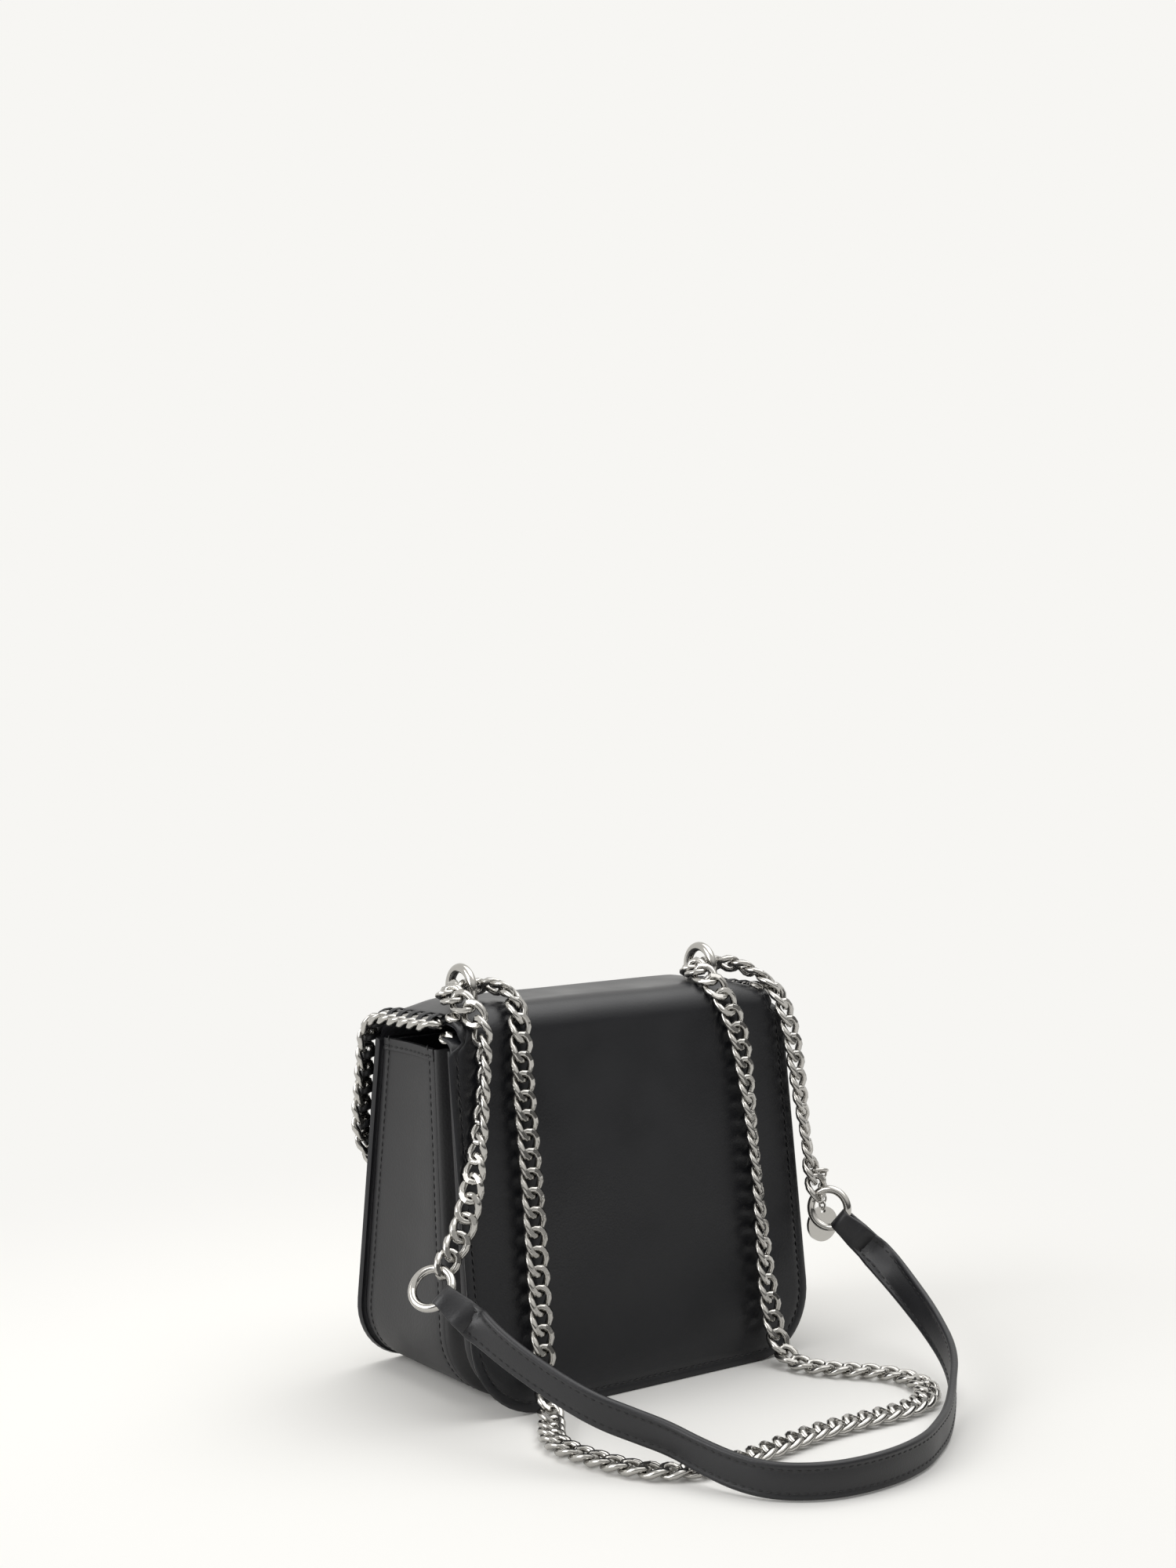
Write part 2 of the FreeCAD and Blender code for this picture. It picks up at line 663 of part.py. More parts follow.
def arches():
    """Two metal arches, bolted through the flap onto plates and nuts under the lining."""
    nuts = []
    for name, side in SIDES.items():
        x = f"{side} * {ARCH_X}"
        bow = doc.addObject("Part::Torus", f"{name}_bow")
        bow.setExpression("Radius1", "Sizes.arch_span / 2")
        bow.setExpression("Radius2", "Sizes.arch_wire / 2")
        bow.Angle3 = 180
        bow.Placement.Rotation = FreeCAD.Rotation(Vector(0, 1, 0), Vector(0, 0, 1), Vector(1, 0, 0), "ZXY")
        place(bow, x, "0", ARCH_LEVEL)
        legs = []
        for leg in (1, -1):
            y = f"{leg} * Sizes.arch_span / 2"
            post = doc.addObject("Part::Cylinder", f"{name}_leg")
            post.setExpression("Radius", "Sizes.arch_wire / 2")
            post.setExpression("Height", "Sizes.arch_leg + Sizes.arch_tail")
            place(post, x, y, f"{ARCH_LEVEL} - Sizes.arch_leg - Sizes.arch_tail")
            legs.append(post)
            prism = doc.addObject("Part::Prism", "nut_blank")
            prism.Polygon = 6
            prism.setExpression("Circumradius", "Sizes.nut_radius")
            prism.setExpression("Height", "Sizes.nut_height")
            slack = "(Sizes.layer_gap + Sizes.top_fall * Sizes.nut_radius)"
            place(prism, x, y, f"{top_z(y, PLATE_IN)} - {slack} - Sizes.nut_height")
            bore = doc.addObject("Part::Cylinder", "nut_bore")
            bore.setExpression("Radius", BOLT_HOLE)
            bore.setExpression("Height", "Sizes.ridge_height")
            place(bore, x, y, "Sizes.hem_height")
            nuts.append(boolean("Cut", "nut", prism, bore))
        finish_part(fuse(f"{name}_arch", [bow] + legs), f"{name}_arch")
        ends = ("Sizes.plate_length / 2", "-Sizes.plate_length / 2")
        corners = [(y, top_z(y, PLATE_OUT)) for y in ends]
        corners += [(y, top_z(y, PLATE_IN)) for y in reversed(ends)]
        blank = strip(f"{name}_plate_blank", corners, "Sizes.plate_width")
        place(blank, x)
        holes = fuse(f"{name}_plate_holes", bolt_holes(f"{name}_plate"))
        finish_part(boolean("Cut", f"{name}_plate", blank, holes), f"{name}_arch_plate")
    group("arch_nuts", nuts)


def trim_rivets():
    """Rivets with a flat polished head on the leather and a shank through it."""
    rivets = []
    for axis, out in rivet_places():
        seat = size("ridge_radius") + size("layer_gap")
        head = cylinder("rivet_head", "Sizes.rivet_radius", "Sizes.rivet_head", axis + out * seat, out)
        inside = size("ridge_radius") - value(LINED_WALL)
        reach = f"{LINED_WALL} + Sizes.layer_gap + Sizes.rivet_head / 2"
        shank = cylinder("rivet_shank", "Sizes.rivet_shank", reach, axis + out * inside, out)
        rivets.append(fuse("rivet", [head, shank]))
    group("trim_rivets", rivets)


def snap():
    """Two flat magnets that hold the flap to the front panel."""
    normal = Vector(0, -1, value(LEAN)).normalize()
    thickness = "(Sizes.flap_standoff - Sizes.snap_gap) / 2"
    face = Vector(0, value(front_y(SNAP_HEIGHT)), value(SNAP_HEIGHT))
    socket = cylinder("snap_socket", "Sizes.snap_radius", thickness, face, normal)
    away = size("flap_standoff") - value(thickness)
    stud = cylinder("snap_stud", "Sizes.snap_radius", thickness, face + normal * away, normal)
    finish_part(socket, "snap_socket")
    finish_part(stud, "snap_stud")


flap()
arches()
trim_rivets()
snap()


# Chain


def smooth_line(points):
    """Quadratic curve that starts and ends on the first and last of its control points."""
    count = len(points)
    curve = Part.BSplineCurve()
    curve.buildFromPolesMultsKnots([Vector(*point) for point in points], [3] + [1] * (count - 3) + [3],
                                   list(range(count - 1)), False, 2)
    return curve


def laid(point):
    """Point of a route, moved with the side of the bag that it belongs to."""
    x, y, z = point
    spread = (size("bag_width") - ROUTE_WIDTH) / 2
    return Vector(x + spread * max(-1, min(1, x / ROUTE_MIDDLE)), y, z)


def link_solid():
    """One link of curb chain: a twisted oval of square wire, worked out as small flat faces."""
    along, across, rise = size("link_half_length"), size("link_half_width"), size("link_rise")
    reach = size("link_wire") / 2
    rows = []
    for step in range(LINK_TURNS):
        angle = 2 * math.pi * step / LINK_TURNS
        middle = Vector(along * math.cos(angle), across * math.sin(angle), -rise * math.sin(2 * angle))
        ahead = Vector(-along * math.sin(angle), across * math.cos(angle), -2 * rise * math.cos(2 * angle))
        out = ahead.cross(Vector(0, 0, 1)).normalize()
        up = out.cross(ahead).normalize()
        row = []
        for corner in range(LINK_CORNERS):
            turn = 2 * math.pi * (corner + 0.5) / LINK_CORNERS
            row.append(middle + out * (reach * math.cos(turn)) + up * (reach * math.sin(turn)))
        rows.append(row)
    faces = []
    for step in range(LINK_TURNS):
        here, there = rows[step], rows[(step + 1) % LINK_TURNS]
        for corner in range(LINK_CORNERS):
            beside = (corner + 1) % LINK_CORNERS
            for second, third in ((there[corner], there[beside]), (there[beside], here[beside])):
                triangle = Part.makePolygon([here[corner], second, third, here[corner]])
                faces.append(Part.Face(triangle))
    shell = Part.makeShell(faces)
    shell.sewShape()
    solid = Part.Solid(shell)
    if solid.Volume < 0:
        solid.reverse()
    return solid


def link_frame(start, end, look):
    """Placement of a link between two joints of the chain, with its flat side turned to a direction."""
    along = (end - start).normalize()
    normal = (look - along * look.dot(along)).normalize()
    across = normal.cross(along)
    turn = FreeCAD.Rotation(along, across, normal, "XZY")
    return FreeCAD.Placement((start + end) * 0.5, turn)


def next_joint(point_at, start, limit, pitch):
    """Parameter at which a curve is one pitch away from a point of it, or None past its end."""
    origin = point_at(start)
    low, high = start, start
    while (point_at(high) - origin).Length < pitch:
        low = high
        high += SEARCH_STEP
        if high > limit:
            return None
    for _ in range(SEARCH_HALVINGS):
        middle = (low + high) / 2
        if (point_at(middle) - origin).Length < pitch:
            low = middle
        else:
            high = middle
    return high


def chain_frames():
    """Placements of the shoulder chain's links along its route."""
    curve = smooth_line([laid(point) for point, _ in CHAIN_ROUTE])
    looks = smooth_line([Vector(*look).normalize() for _, look in CHAIN_ROUTE])
    limit = curve.LastParameter
    frames = []
    start = curve.FirstParameter
    while True:
        end = next_joint(curve.value, start, limit, size("link_pitch"))
        if end is None:
            return frames
        frames.append(link_frame(curve.value(start), curve.value(end), looks.value((start + end) / 2)))
        start = end


def linked(label, link, frames):
    """Node of separate, interlocking links."""
    links = []
    for frame in frames:
        copy = link.copy()
        copy.Placement = frame
        links.append(copy)
    feature = doc.addObject("Part::Feature", label)
    feature.Shape = Part.makeCompound(links)
    return finish_part(feature, label)


def rounded_path(corners, radii):
    """Straight runs through the corners, joined by tangent arcs."""
    edges = []
    here = corners[0]
    for index in range(1, len(corners) - 1):
        before = (corners[index - 1] - corners[index]).normalize()
        after = (corners[index + 1] - corners[index]).normalize()
        half = before.getAngle(after) / 2
        radius = radii[index - 1]
        setback = radius / math.tan(half)
        inward = (before + after).normalize()
        middle = corners[index] + inward * (radius / math.sin(half) - radius)
        first, last = corners[index] + before * setback, corners[index] + after * setback
        edges.append(Part.LineSegment(here, first).toShape())
        edges.append(Part.Arc(first, middle, last).toShape())
        here = last
    edges.append(Part.LineSegment(here, corners[-1]).toShape())
    return Part.Wire(edges)


def trim_frames():
    """Placements of the links that trim the flap, tilted down along its sides, front corners and hem."""
    tilt = math.radians(size("trim_tilt"))
    width = size("link_half_width") + size("link_wire") / 2
    out = size("trim_clearance") + width * math.cos(tilt) + size("link_rise") * math.sin(tilt)
    sink = size("leather") / 2
    down = sink + width * math.sin(tilt) / 2
    depth = str(down)
    x = value(FLAP_WIDTH) / 2 + out
    normal = Vector(0, -1, value(LEAN)).normalize()
    start = str(size("trim_start"))
    top = Vector(x, float(start), value(top_z(start, depth)))
    corner = Vector(x, *[value(place) for place in front_corner(depth)])
    low = f"(Sizes.hem_height - {out / value(LEAN_STRETCH)})"
    foot = Vector(x, value(drop_y(low, depth)), value(low))

    def mirrored(point):
        return Vector(-point.x, point.y, point.z)

    bend = size("front_radius") - down
    turn = size("hem_radius") + out
    corners = [top, corner, foot, mirrored(foot), mirrored(corner), mirrored(top)]
    path = rounded_path(corners, [bend, turn, turn, bend])
    points = path.discretize(Distance=PATH_STEP)
    joints = [points[0]]
    for point in points:
        if (point - joints[-1]).Length >= size("link_pitch"):
            joints.append(point)
    bend_end = corner.z - bend
    frames = []
    for here, there in zip(joints, joints[1:]):
        along = (there - here).normalize()
        surface = normal
        if (here.z + there.z) / 2 > bend_end:
            surface = along.cross(Vector(1, 0, 0)).normalize()
            if surface.z - surface.y < 0:
                surface = -surface
        outward = along.cross(surface)
        if outward.dot(Vector(here.x, 0, -size("hem_radius"))) < 0:
            outward = -outward
        frames.append(link_frame(here, there, surface * math.cos(tilt) + outward * math.sin(tilt)))
    return frames


LINK = link_solid()
FRAMES = chain_frames()
on_floor = [index for index, frame in enumerate(FRAMES) if frame.Base.z < FLOOR_LEVEL]
floor_start, floor_end = on_floor[0], on_floor[-1] + 1
linked("left_hanging_chain", LINK, FRAMES[:floor_start])
linked("floor_chain", LINK, FRAMES[floor_start:floor_end])
linked("right_hanging_chain", LINK, FRAMES[floor_end:])
linked("trim_chain", LINK, trim_frames())


# Rings, folded strap ends and shoulder strap


def axes(frame):
    """Directions along, across and out of the flat side of a placed link."""
    turn = frame.Rotation
    return [turn.multVec(unit) for unit in (Vector(1, 0, 0), Vector(0, 1, 0), Vector(0, 0, 1))]


def ring_at(label, frame, inward, aim, swings):
    """Ring through the last link; inward is 1 where the chain leaves along the link's own direction.

    The ring hangs in line with the link, or swings on it towards the aim, a point on the strap.
    The strap's eye sits on the ring where the ring faces the aim.
    """
    along, across, normal = axes(frame)
    wire = Vector(0, size("link_half_width"), -2 * size("link_rise") * inward).normalize()
    through = (across * wire.y - normal * wire.z).normalize()
    pull = along * inward
    held = frame.Base - pull * size("link_half_length")
    if swings:
        pull = held - aim
        pull = (pull - through * pull.dot(through)).normalize()
    seat = size("link_wire") / 2 + size("ring_wire") / 2 + size("ring_clearance")
    middle = held - pull * (size("ring_radius") - seat)
    ring = doc.addObject("Part::Torus", label)
    ring.setExpression("Radius1", "Sizes.ring_radius")
    ring.setExpression("Radius2", "Sizes.ring_wire / 2")
    ring.Placement = FreeCAD.Placement(middle, FreeCAD.Rotation(Vector(0, 0, 1), through))
    finish_part(ring, label)
    away = aim - middle
    away = (away - through * away.dot(through)).normalize()
    return ring, middle + away * size("ring_radius"), through.cross(away).normalize()


def strap_loop(label, ring, eye, width_way, towards):
    """Leather end folded round a ring: an eye that narrows to the strap's thickness."""
    way = towards - eye
    way = (way - width_way * way.dot(width_way)).normalize()
    radius = "(Sizes.ring_wire / 2 + Sizes.ring_clearance + Sizes.loop_wall)"
    half = "Sizes.strap_thickness / 2"
    length = "Sizes.loop_length"
    body = new_body(f"{label}_fold")
    corners = [("0", radius), (length, half), (length, f"-{half}"), ("0", f"-{radius}")]
    extrude(body, "Pad", outline(body, f"{label}_profile", "XY_Plane", corners), "Sizes.strap_end_width")
    pose = FreeCAD.Placement(eye, FreeCAD.Rotation(way, width_way.cross(way), width_way, "XZY"))
    body.Placement = pose
    across = width_way * (size("strap_end_width") / 2)
    eye_end = cylinder(f"{label}_eye", radius, "Sizes.strap_end_width", eye - across, width_way)
    bore = doc.addObject("Part::Torus", f"{label}_bore")
    bore.setExpression("Radius1", "Sizes.ring_radius")
    bore.setExpression("Radius2", "Sizes.ring_wire / 2 + Sizes.ring_clearance")
    bore.Placement = ring.Placement
    finish_part(boolean("Cut", f"{label}_cut", fuse(f"{label}_blank", [body, eye_end]), bore), label)
    return eye + way * size("loop_length"), way


def shoulder_strap(first, first_way, first_width, last, last_way, last_width):
    """Flat leather strap on edge, from one folded end to the other, narrowed at both."""
    lead = size("loop_length") / 2
    points = [first, first + first_way * lead] + [laid(point) for point, _ in STRAP_ROUTE]
    points += [last + last_way * lead, last]
    if first_width.dot(Vector(*STRAP_ROUTE[0][1])) < 0:
        first_width = -first_width
    if last_width.dot(Vector(*STRAP_ROUTE[-1][1])) < 0:
        last_width = -last_width
    widths = [first_width, first_width] + [Vector(*way) for _, way in STRAP_ROUTE]
    widths += [last_width, last_width]
    curve = smooth_line(points)
    ways = smooth_line([way.normalize() for way in widths])
    limit = curve.LastParameter
    half_thick = size("strap_thickness") / 2
    narrow, extra = size("strap_end_width"), size("strap_width") - size("strap_end_width")
    sections = []
    for station in range(STRAP_STATIONS + 1):
        place_on = limit * station / STRAP_STATIONS
        middle = curve.value(place_on)
        ahead = Vector(*curve.tangent(place_on)[0])
        way = ways.value(place_on)
        way = (way - ahead * way.dot(ahead)).normalize()
        flat = ahead.cross(way)
        share = min(1, min(place_on, limit - place_on) / STRAP_TAPER)
        half = (narrow + extra * share) / 2
        corners = [middle + way * (half * side) + flat * (half_thick * face)
                   for side, face in ((1, 1), (1, -1), (-1, -1), (-1, 1))]
        sections.append(Part.makePolygon(corners + [corners[0]]))
    feature = doc.addObject("Part::Feature", "shoulder_strap")
    feature.Shape = Part.makeLoft(sections, True, True)
    print("strap length", round(curve.length(), 1))
    return finish_part(feature, "shoulder_strap")


left_aim, right_aim = laid(STRAP_ROUTE[0][0]), laid(STRAP_ROUTE[-1][0])
left_ring, left_eye, left_width = ring_at("left_ring", FRAMES[0], 1, left_aim, False)
right_ring, right_eye, right_width = ring_at("right_ring", FRAMES[-1], -1, right_aim, True)
left_end, left_way = strap_loop("left_strap_loop", left_ring, left_eye, left_width, left_aim)
right_end, right_way = strap_loop("right_strap_loop", right_ring, right_eye, right_width, right_aim)
shoulder_strap(left_end, left_way, left_width, right_end, right_way, right_width)


# Charm


def charm():
    """Bare disc that hangs on small rings from one side of a link near the right ring."""
    hanging = FRAMES[floor_end:]
    top = max(range(len(hanging)), key=lambda index: hanging[index].Base.z)
    frame = min(hanging[top:], key=lambda item: abs(item.Base.z - size("charm_height")))
    along, across, normal = axes(frame)
    down = Vector(0, 0, -1)
    side = across if across.x < 0 else -across
    droop, lean = math.radians(size("jump_droop")), math.radians(size("jump_lean"))
    flat = (normal - down * normal.dot(down)).normalize()
    fall = along if along.dot(down) > 0 else -along
    level = side * math.cos(lean) - normal * math.sin(lean)
    through = side * math.sin(lean) + normal * math.cos(lean)
    way = level * math.cos(droop) + fall * math.sin(droop)

    def torus(name, middle, normal_way, radius, wire):
        ring = doc.addObject("Part::Torus", name)
        ring.setExpression("Radius1", radius)
        ring.setExpression("Radius2", f"{wire} / 2")
        ring.Placement = FreeCAD.Placement(middle, FreeCAD.Rotation(Vector(0, 0, 1), normal_way))
        return ring

    jump = torus("charm_jump_ring", frame.Base + way * size("jump_radius"), way.cross(through),
                 "Sizes.jump_radius", "Sizes.jump_wire")
    finish_part(jump, "charm_jump_ring")
    slack = size("layer_gap")
    hook = frame.Base + way * (2 * size("jump_radius"))
    held = size("jump_wire") / 2
    radius, wire = size("small_ring_radius"), size("small_ring_wire") / 2
    sideways = down.cross(flat)
    rings = []
    for index in range(int(size("small_ring_count"))):
        middle = hook + down * (radius - wire - held - slack)
        rings.append(torus("charm_ring", middle, flat if index % 2 == 0 else sideways,
                           "Sizes.small_ring_radius", "Sizes.small_ring_wire"))
        hook = middle + down * radius
        held = wire
    group("charm_rings", rings)
    hole = hook + down * (size("charm_hole") - wire - size("charm_slack"))
    middle = hole + down * size("charm_hole_offset")
    half = flat * (size("charm_thickness") / 2)
    disc = cylinder("charm_blank", "Sizes.charm_radius", "Sizes.charm_thickness", middle - half, flat)
    drill = cylinder("charm_drill", "Sizes.charm_hole", "3 * Sizes.charm_thickness", hole - half * 3, flat)
    finish_part(boolean("Cut", "charm_cut", disc, drill), "charm_disc")
    print("charm hinge", hole, "axis", flat)


charm()


# Test and write


def write_parts():
    doc.recompute()
    faults = []
    for item in doc.Objects:
        if "Invalid" in item.State or "Error" in item.State:
            faults.append(f"{item.Label}: {item.State}")
    for item in sub_parts:
        if item.Shape.isNull() or not item.Shape.isValid():
            faults.append(f"{item.Label}: bad shape")
    if faults:
        raise RuntimeError("; ".join(faults))
    os.makedirs("parts", exist_ok=True)
    for item in sub_parts:
        item.Shape.exportStep(f"parts/{item.Label}.step")
        box = item.Shape.BoundBox
        print(item.Label, len(item.Shape.Solids), "solids", round(item.Shape.Volume), "mm3", box)


write_parts()
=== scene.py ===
"""Looks of the chain shoulder bag: shell, linings, curb chains, strap, stitching and studio."""

import math

import bpy
import bmesh
import numpy as np
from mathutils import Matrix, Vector, noise


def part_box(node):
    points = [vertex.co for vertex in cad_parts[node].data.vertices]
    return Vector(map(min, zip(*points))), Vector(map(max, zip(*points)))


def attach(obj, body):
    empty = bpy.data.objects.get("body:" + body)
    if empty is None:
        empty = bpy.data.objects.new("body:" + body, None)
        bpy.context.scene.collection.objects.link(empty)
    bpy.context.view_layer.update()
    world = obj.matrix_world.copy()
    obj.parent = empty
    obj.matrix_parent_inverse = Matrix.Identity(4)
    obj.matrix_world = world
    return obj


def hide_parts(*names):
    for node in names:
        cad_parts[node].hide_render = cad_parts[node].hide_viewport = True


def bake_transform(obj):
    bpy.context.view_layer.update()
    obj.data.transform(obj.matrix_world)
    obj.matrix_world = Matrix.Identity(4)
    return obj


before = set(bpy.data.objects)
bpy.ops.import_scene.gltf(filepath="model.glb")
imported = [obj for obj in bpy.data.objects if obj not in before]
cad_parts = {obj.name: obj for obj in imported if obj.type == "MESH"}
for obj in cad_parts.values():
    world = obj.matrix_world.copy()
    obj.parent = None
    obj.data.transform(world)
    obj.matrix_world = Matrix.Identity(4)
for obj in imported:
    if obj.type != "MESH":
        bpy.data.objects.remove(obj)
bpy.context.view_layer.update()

bl_info = {
    "name": "Chain Shoulder Bag",
    "version": (1, 0, 0),
    "blender": (4, 5, 0),
    "location": "View3D > Sidebar > Bag",
    "description": "Builds the looks of a leather shoulder bag around its packed frame",
    "category": "Object",
}

MM = 0.001

# Sizes of the bag in millimetres, as the frame has them
HALF_WIDTH = 90.0
CORNER = 31.0
MOUTH = 148.0
MOUTH_DEPTH = 58.5
BASE_DEPTH = 101.0
LEAN = (BASE_DEPTH - MOUTH_DEPTH) / (2 * MOUTH)
DIVIDER_DEPTH = 22.6
DIVIDER_LEAN = 10.0 / MOUTH
RIDGE = 166.0
RIDGE_RADIUS = 13.0
TOP_FALL = 0.0437
FRONT_RADIUS = 22.0
FLAP_STANDOFF = 10.1
FLAP_HALF = 84.0
FLAP_SPLIT = 152.0
HEM = 90.0
HEM_RADIUS = 25.0
GUSSET_HALF = 87.0
RING_RADIUS = 8.5
RING_REACH = {"left_ring": 10.9, "right_ring": 10.5}
LINK_PITCH = 8.0
LOOP_LENGTH = 10.0

# Places of the shoulder chain's links that lie flat on the floor, in millimetres
LINK_ON_FLOOR = 3
FLOOR_LAY = [
    (72.5, 77), (79, 87), (81.5, 99), (79, 113), (75, 128), (67.5, 141), (54, 147.5), (39, 149),
    (24, 147.6), (9, 145), (-8, 142), (-24, 141.3), (-40, 142), (-57, 142.8), (-73, 139.5),
    (-85, 129.5), (-89.5, 116), (-86.5, 102), (-77, 91), (-68, 81),
]

# Control points of the shoulder chain in millimetres, and the way that a link's flat side looks
CHAIN_ROUTE = [
    ((104.5, 45.8, 64), (0, 1, 0.3)),
    ((99.5, 45.2, 69.5), (0.1, 1, 0.3)),
    ((93, 44.2, 78.5), (0.45, 0.9, 0.2)),
    ((88.5, 43.2, 91), (0.8, 0.5, 0.1)),
    ((81.8, 39.8, 117), (1, -0.1, 0)),
    ((77.5, 36.6, 140), (1, -0.35, 0)),
    ((76.2, 34.2, 150), (1, -0.25, 0.15)),
    ((75.8, 30.2, 160.5), (0.9, 0.1, 0.5)),
    ((77, 23.4, 166.2), (0.7, 0.3, 0.7)),
    ((78.2, 14.8, 169), (0.6, 0.1, 0.8)),
    ((76.8, 5.9, 171), (0.5, -0.35, 0.8)),
    ((69.2, 0.35, 170.5), (0.2, -0.5, 0.8)),
    ((59.8, 0.35, 170.5), (-0.2, -0.5, 0.8)),
    ((53.4, 6.5, 171), (-0.5, -0.35, 0.8)),
    ((52.4, 14.8, 170.8), (-0.6, 0, 0.8)),
    ((53.6, 23, 167.2), (-0.4, 0.4, 0.8)),
    ((55.4, 29.5, 161.3), (-0.2, 0.8, 0.5)),
    ((56.8, 32.8, 151), (0, 1, 0.2)),
    ((57.8, 35.4, 137), (0, 1, 0.15)),
    ((57.9, 43, 89), (0, 1, 0.15)),
    ((58.8, 49.9, 41), (0, 1, 0.15)),
    ((59.2, 52.3, 27), (0, 1, 0.2)),
    ((60.2, 55.2, 15), (0, 0.9, 0.4)),
    ((62.5, 61, 6.8), (0, 0.6, 0.7)),
    ((66.5, 69, 3.2), (0, 0.2, 1)),
    *(((x, y, LINK_ON_FLOOR), (0, 0, 1)) for x, y in FLOOR_LAY),
    ((-63.5, 70.5, 3.1), (0, 0.2, 1)),
    ((-63, 62, 5.6), (0, 0.6, 0.8)),
    ((-63, 56, 13.2), (0, 0.9, 0.4)),
    ((-62.6, 52.6, 26), (0, 1, 0.2)),
    ((-62.2, 50, 40), (-0.35, 0.95, 0.15)),
    ((-62.2, 43.1, 88), (-0.8, 0.6, 0.1)),
    ((-60.8, 35.5, 136), (-0.1, 1, 0.15)),
    ((-58, 32.9, 150), (0.1, 1, 0.25)),
    ((-53.8, 29.5, 161.3), (0.3, 0.8, 0.5)),
    ((-51.4, 23, 167.5), (0.5, 0.4, 0.8)),
    ((-50.8, 14.8, 171.3), (0.6, 0, 0.8)),
    ((-53.7, 5.9, 171), (0.5, -0.35, 0.8)),
    ((-61.3, 0.35, 170.5), (0.2, -0.5, 0.8)),
    ((-70.7, 0.35, 170.5), (-0.2, -0.5, 0.8)),
    ((-78.3, 5.9, 171), (-0.5, -0.35, 0.8)),
    ((-82.2, 14.2, 168.3), (-0.6, 0.1, 0.8)),
    ((-84.5, 23, 165.2), (-0.5, 0.5, 0.7)),
    ((-86.6, 29.8, 159), (-0.4, 0.8, 0.4)),
    ((-88.6, 33.4, 149), (-0.3, 1, 0.25)),
    ((-90.2, 35.8, 137), (-0.2, 1, 0.2)),
    ((-91.4, 39.6, 113), (-0.4, 0.9, 0.15)),
    ((-92.6, 43.4, 89), (-0.75, 0.65, 0.15)),
    ((-93, 45.8, 79), (-0.4, 0.9, 0.25)),
    ((-93.8, 48.6, 71), (0.1, 1, 0.35)),
    ((-94.6, 51.2, 65), (0.1, 1, 0.4)),
]

# Control points of the shoulder strap in millimetres, and the way that its width runs
STRAP_ROUTE = [
    ((102, 69, 47.5), (-0.1, 0.2, 0.95)),
    ((97.5, 83, 39.5), (0.15, 0, 0.95)),
    ((89, 101, 30), (0.22, 0, 0.97)),
    ((80, 117, 22.5), (0.22, 0, 0.97)),
    ((70, 130, 18), (0.2, 0, 0.97)),
    ((63, 142, 15), (0.2, 0, 1)),
    ((59, 155, 11.5), (0.1, 0, 1)),
    ((54, 170, 8.5), (0, 0, 1)),
    ((47, 183, 7.3), (0, 0, 1)),
    ((33, 193.5, 7.3), (0, 0, 1)),
    ((16, 197.5, 7.3), (0, 0, 1)),
    ((-4, 197, 7.3), (0, 0, 1)),
    ((-22, 192, 7.3), (0, 0, 1)),
    ((-36, 184, 7.3), (0, 0, 1)),
    ((-50, 175, 7.3), (0, 0, 1)),
    ((-68, 160, 8.8), (0, 0, 1)),
    ((-89, 140, 15.5), (-0.1, 0, 1)),
    ((-101, 115, 24.5), (-0.2, 0, 1)),
    ((-106, 90, 36.5), (-0.35, 0.1, 1)),
    ((-106, 77, 44.5), (-0.6, -0.1, 0.75)),
]


# Sizes and colours that a user may change


class BagSizes(bpy.types.PropertyGroup):
    link_wire: bpy.props.FloatProperty(
        name="Link wire", description="Thickness of a chain link's wire",
        default=3.1 * MM, unit="LENGTH", precision=5)
    link_grind: bpy.props.FloatProperty(
        name="Link grind",
        description="Height above a link's middle at which its faces are ground flat",
        default=2.05 * MM, unit="LENGTH", precision=5)
    stitch_pitch: bpy.props.FloatProperty(
        name="Stitch pitch", description="Distance from one stitch to the next",
        default=3.4 * MM, unit="LENGTH", precision=5)
    leather: bpy.props.FloatProperty(
        name="Leather", description="Thickness of the shell's leather",
        default=2.2 * MM, unit="LENGTH", precision=5)
    strap_width: bpy.props.FloatProperty(
        name="Strap width", description="Width of the shoulder strap",
        default=14 * MM, unit="LENGTH", precision=5)
    strap_thickness: bpy.props.FloatProperty(
        name="Strap thickness", description="Thickness of the strap at its rolled edges",
        default=3.2 * MM, unit="LENGTH", precision=5)
    lace_width: bpy.props.FloatProperty(
        name="Lace width", description="Width of the lace that binds the trim to the flap",
        default=3.4 * MM, unit="LENGTH", precision=5)


class BagColours(bpy.types.PropertyGroup):
    leather: bpy.props.StringProperty(
        name="Calf", description="sRGB hex colour of the shell's leather", default="131418")
    soft_leather: bpy.props.StringProperty(
        name="Soft calf", description="sRGB hex colour of the gusset's leather", default="1D1D1F")
    lining: bpy.props.StringProperty(
        name="Lining", description="sRGB hex colour of the lining", default="14151F")
    metal: bpy.props.StringProperty(
        name="Metal", description="sRGB hex colour of the plated metal", default="B6B4B0")
    thread: bpy.props.StringProperty(
        name="Thread", description="sRGB hex colour of the thread", default="101012")
    backdrop: bpy.props.StringProperty(
        name="Backdrop", description="sRGB hex colour of the floor and backdrop", default="F7F6F3")


# Materials


def linear(code):
    """Linear colour of an sRGB hex value."""
    parts = [int(code[i:i + 2], 16) / 255 for i in (0, 2, 4)]
    return [c / 12.92 if c <= 0.04045 else ((c + 0.055) / 1.055) ** 2.4 for c in parts] + [1.0]


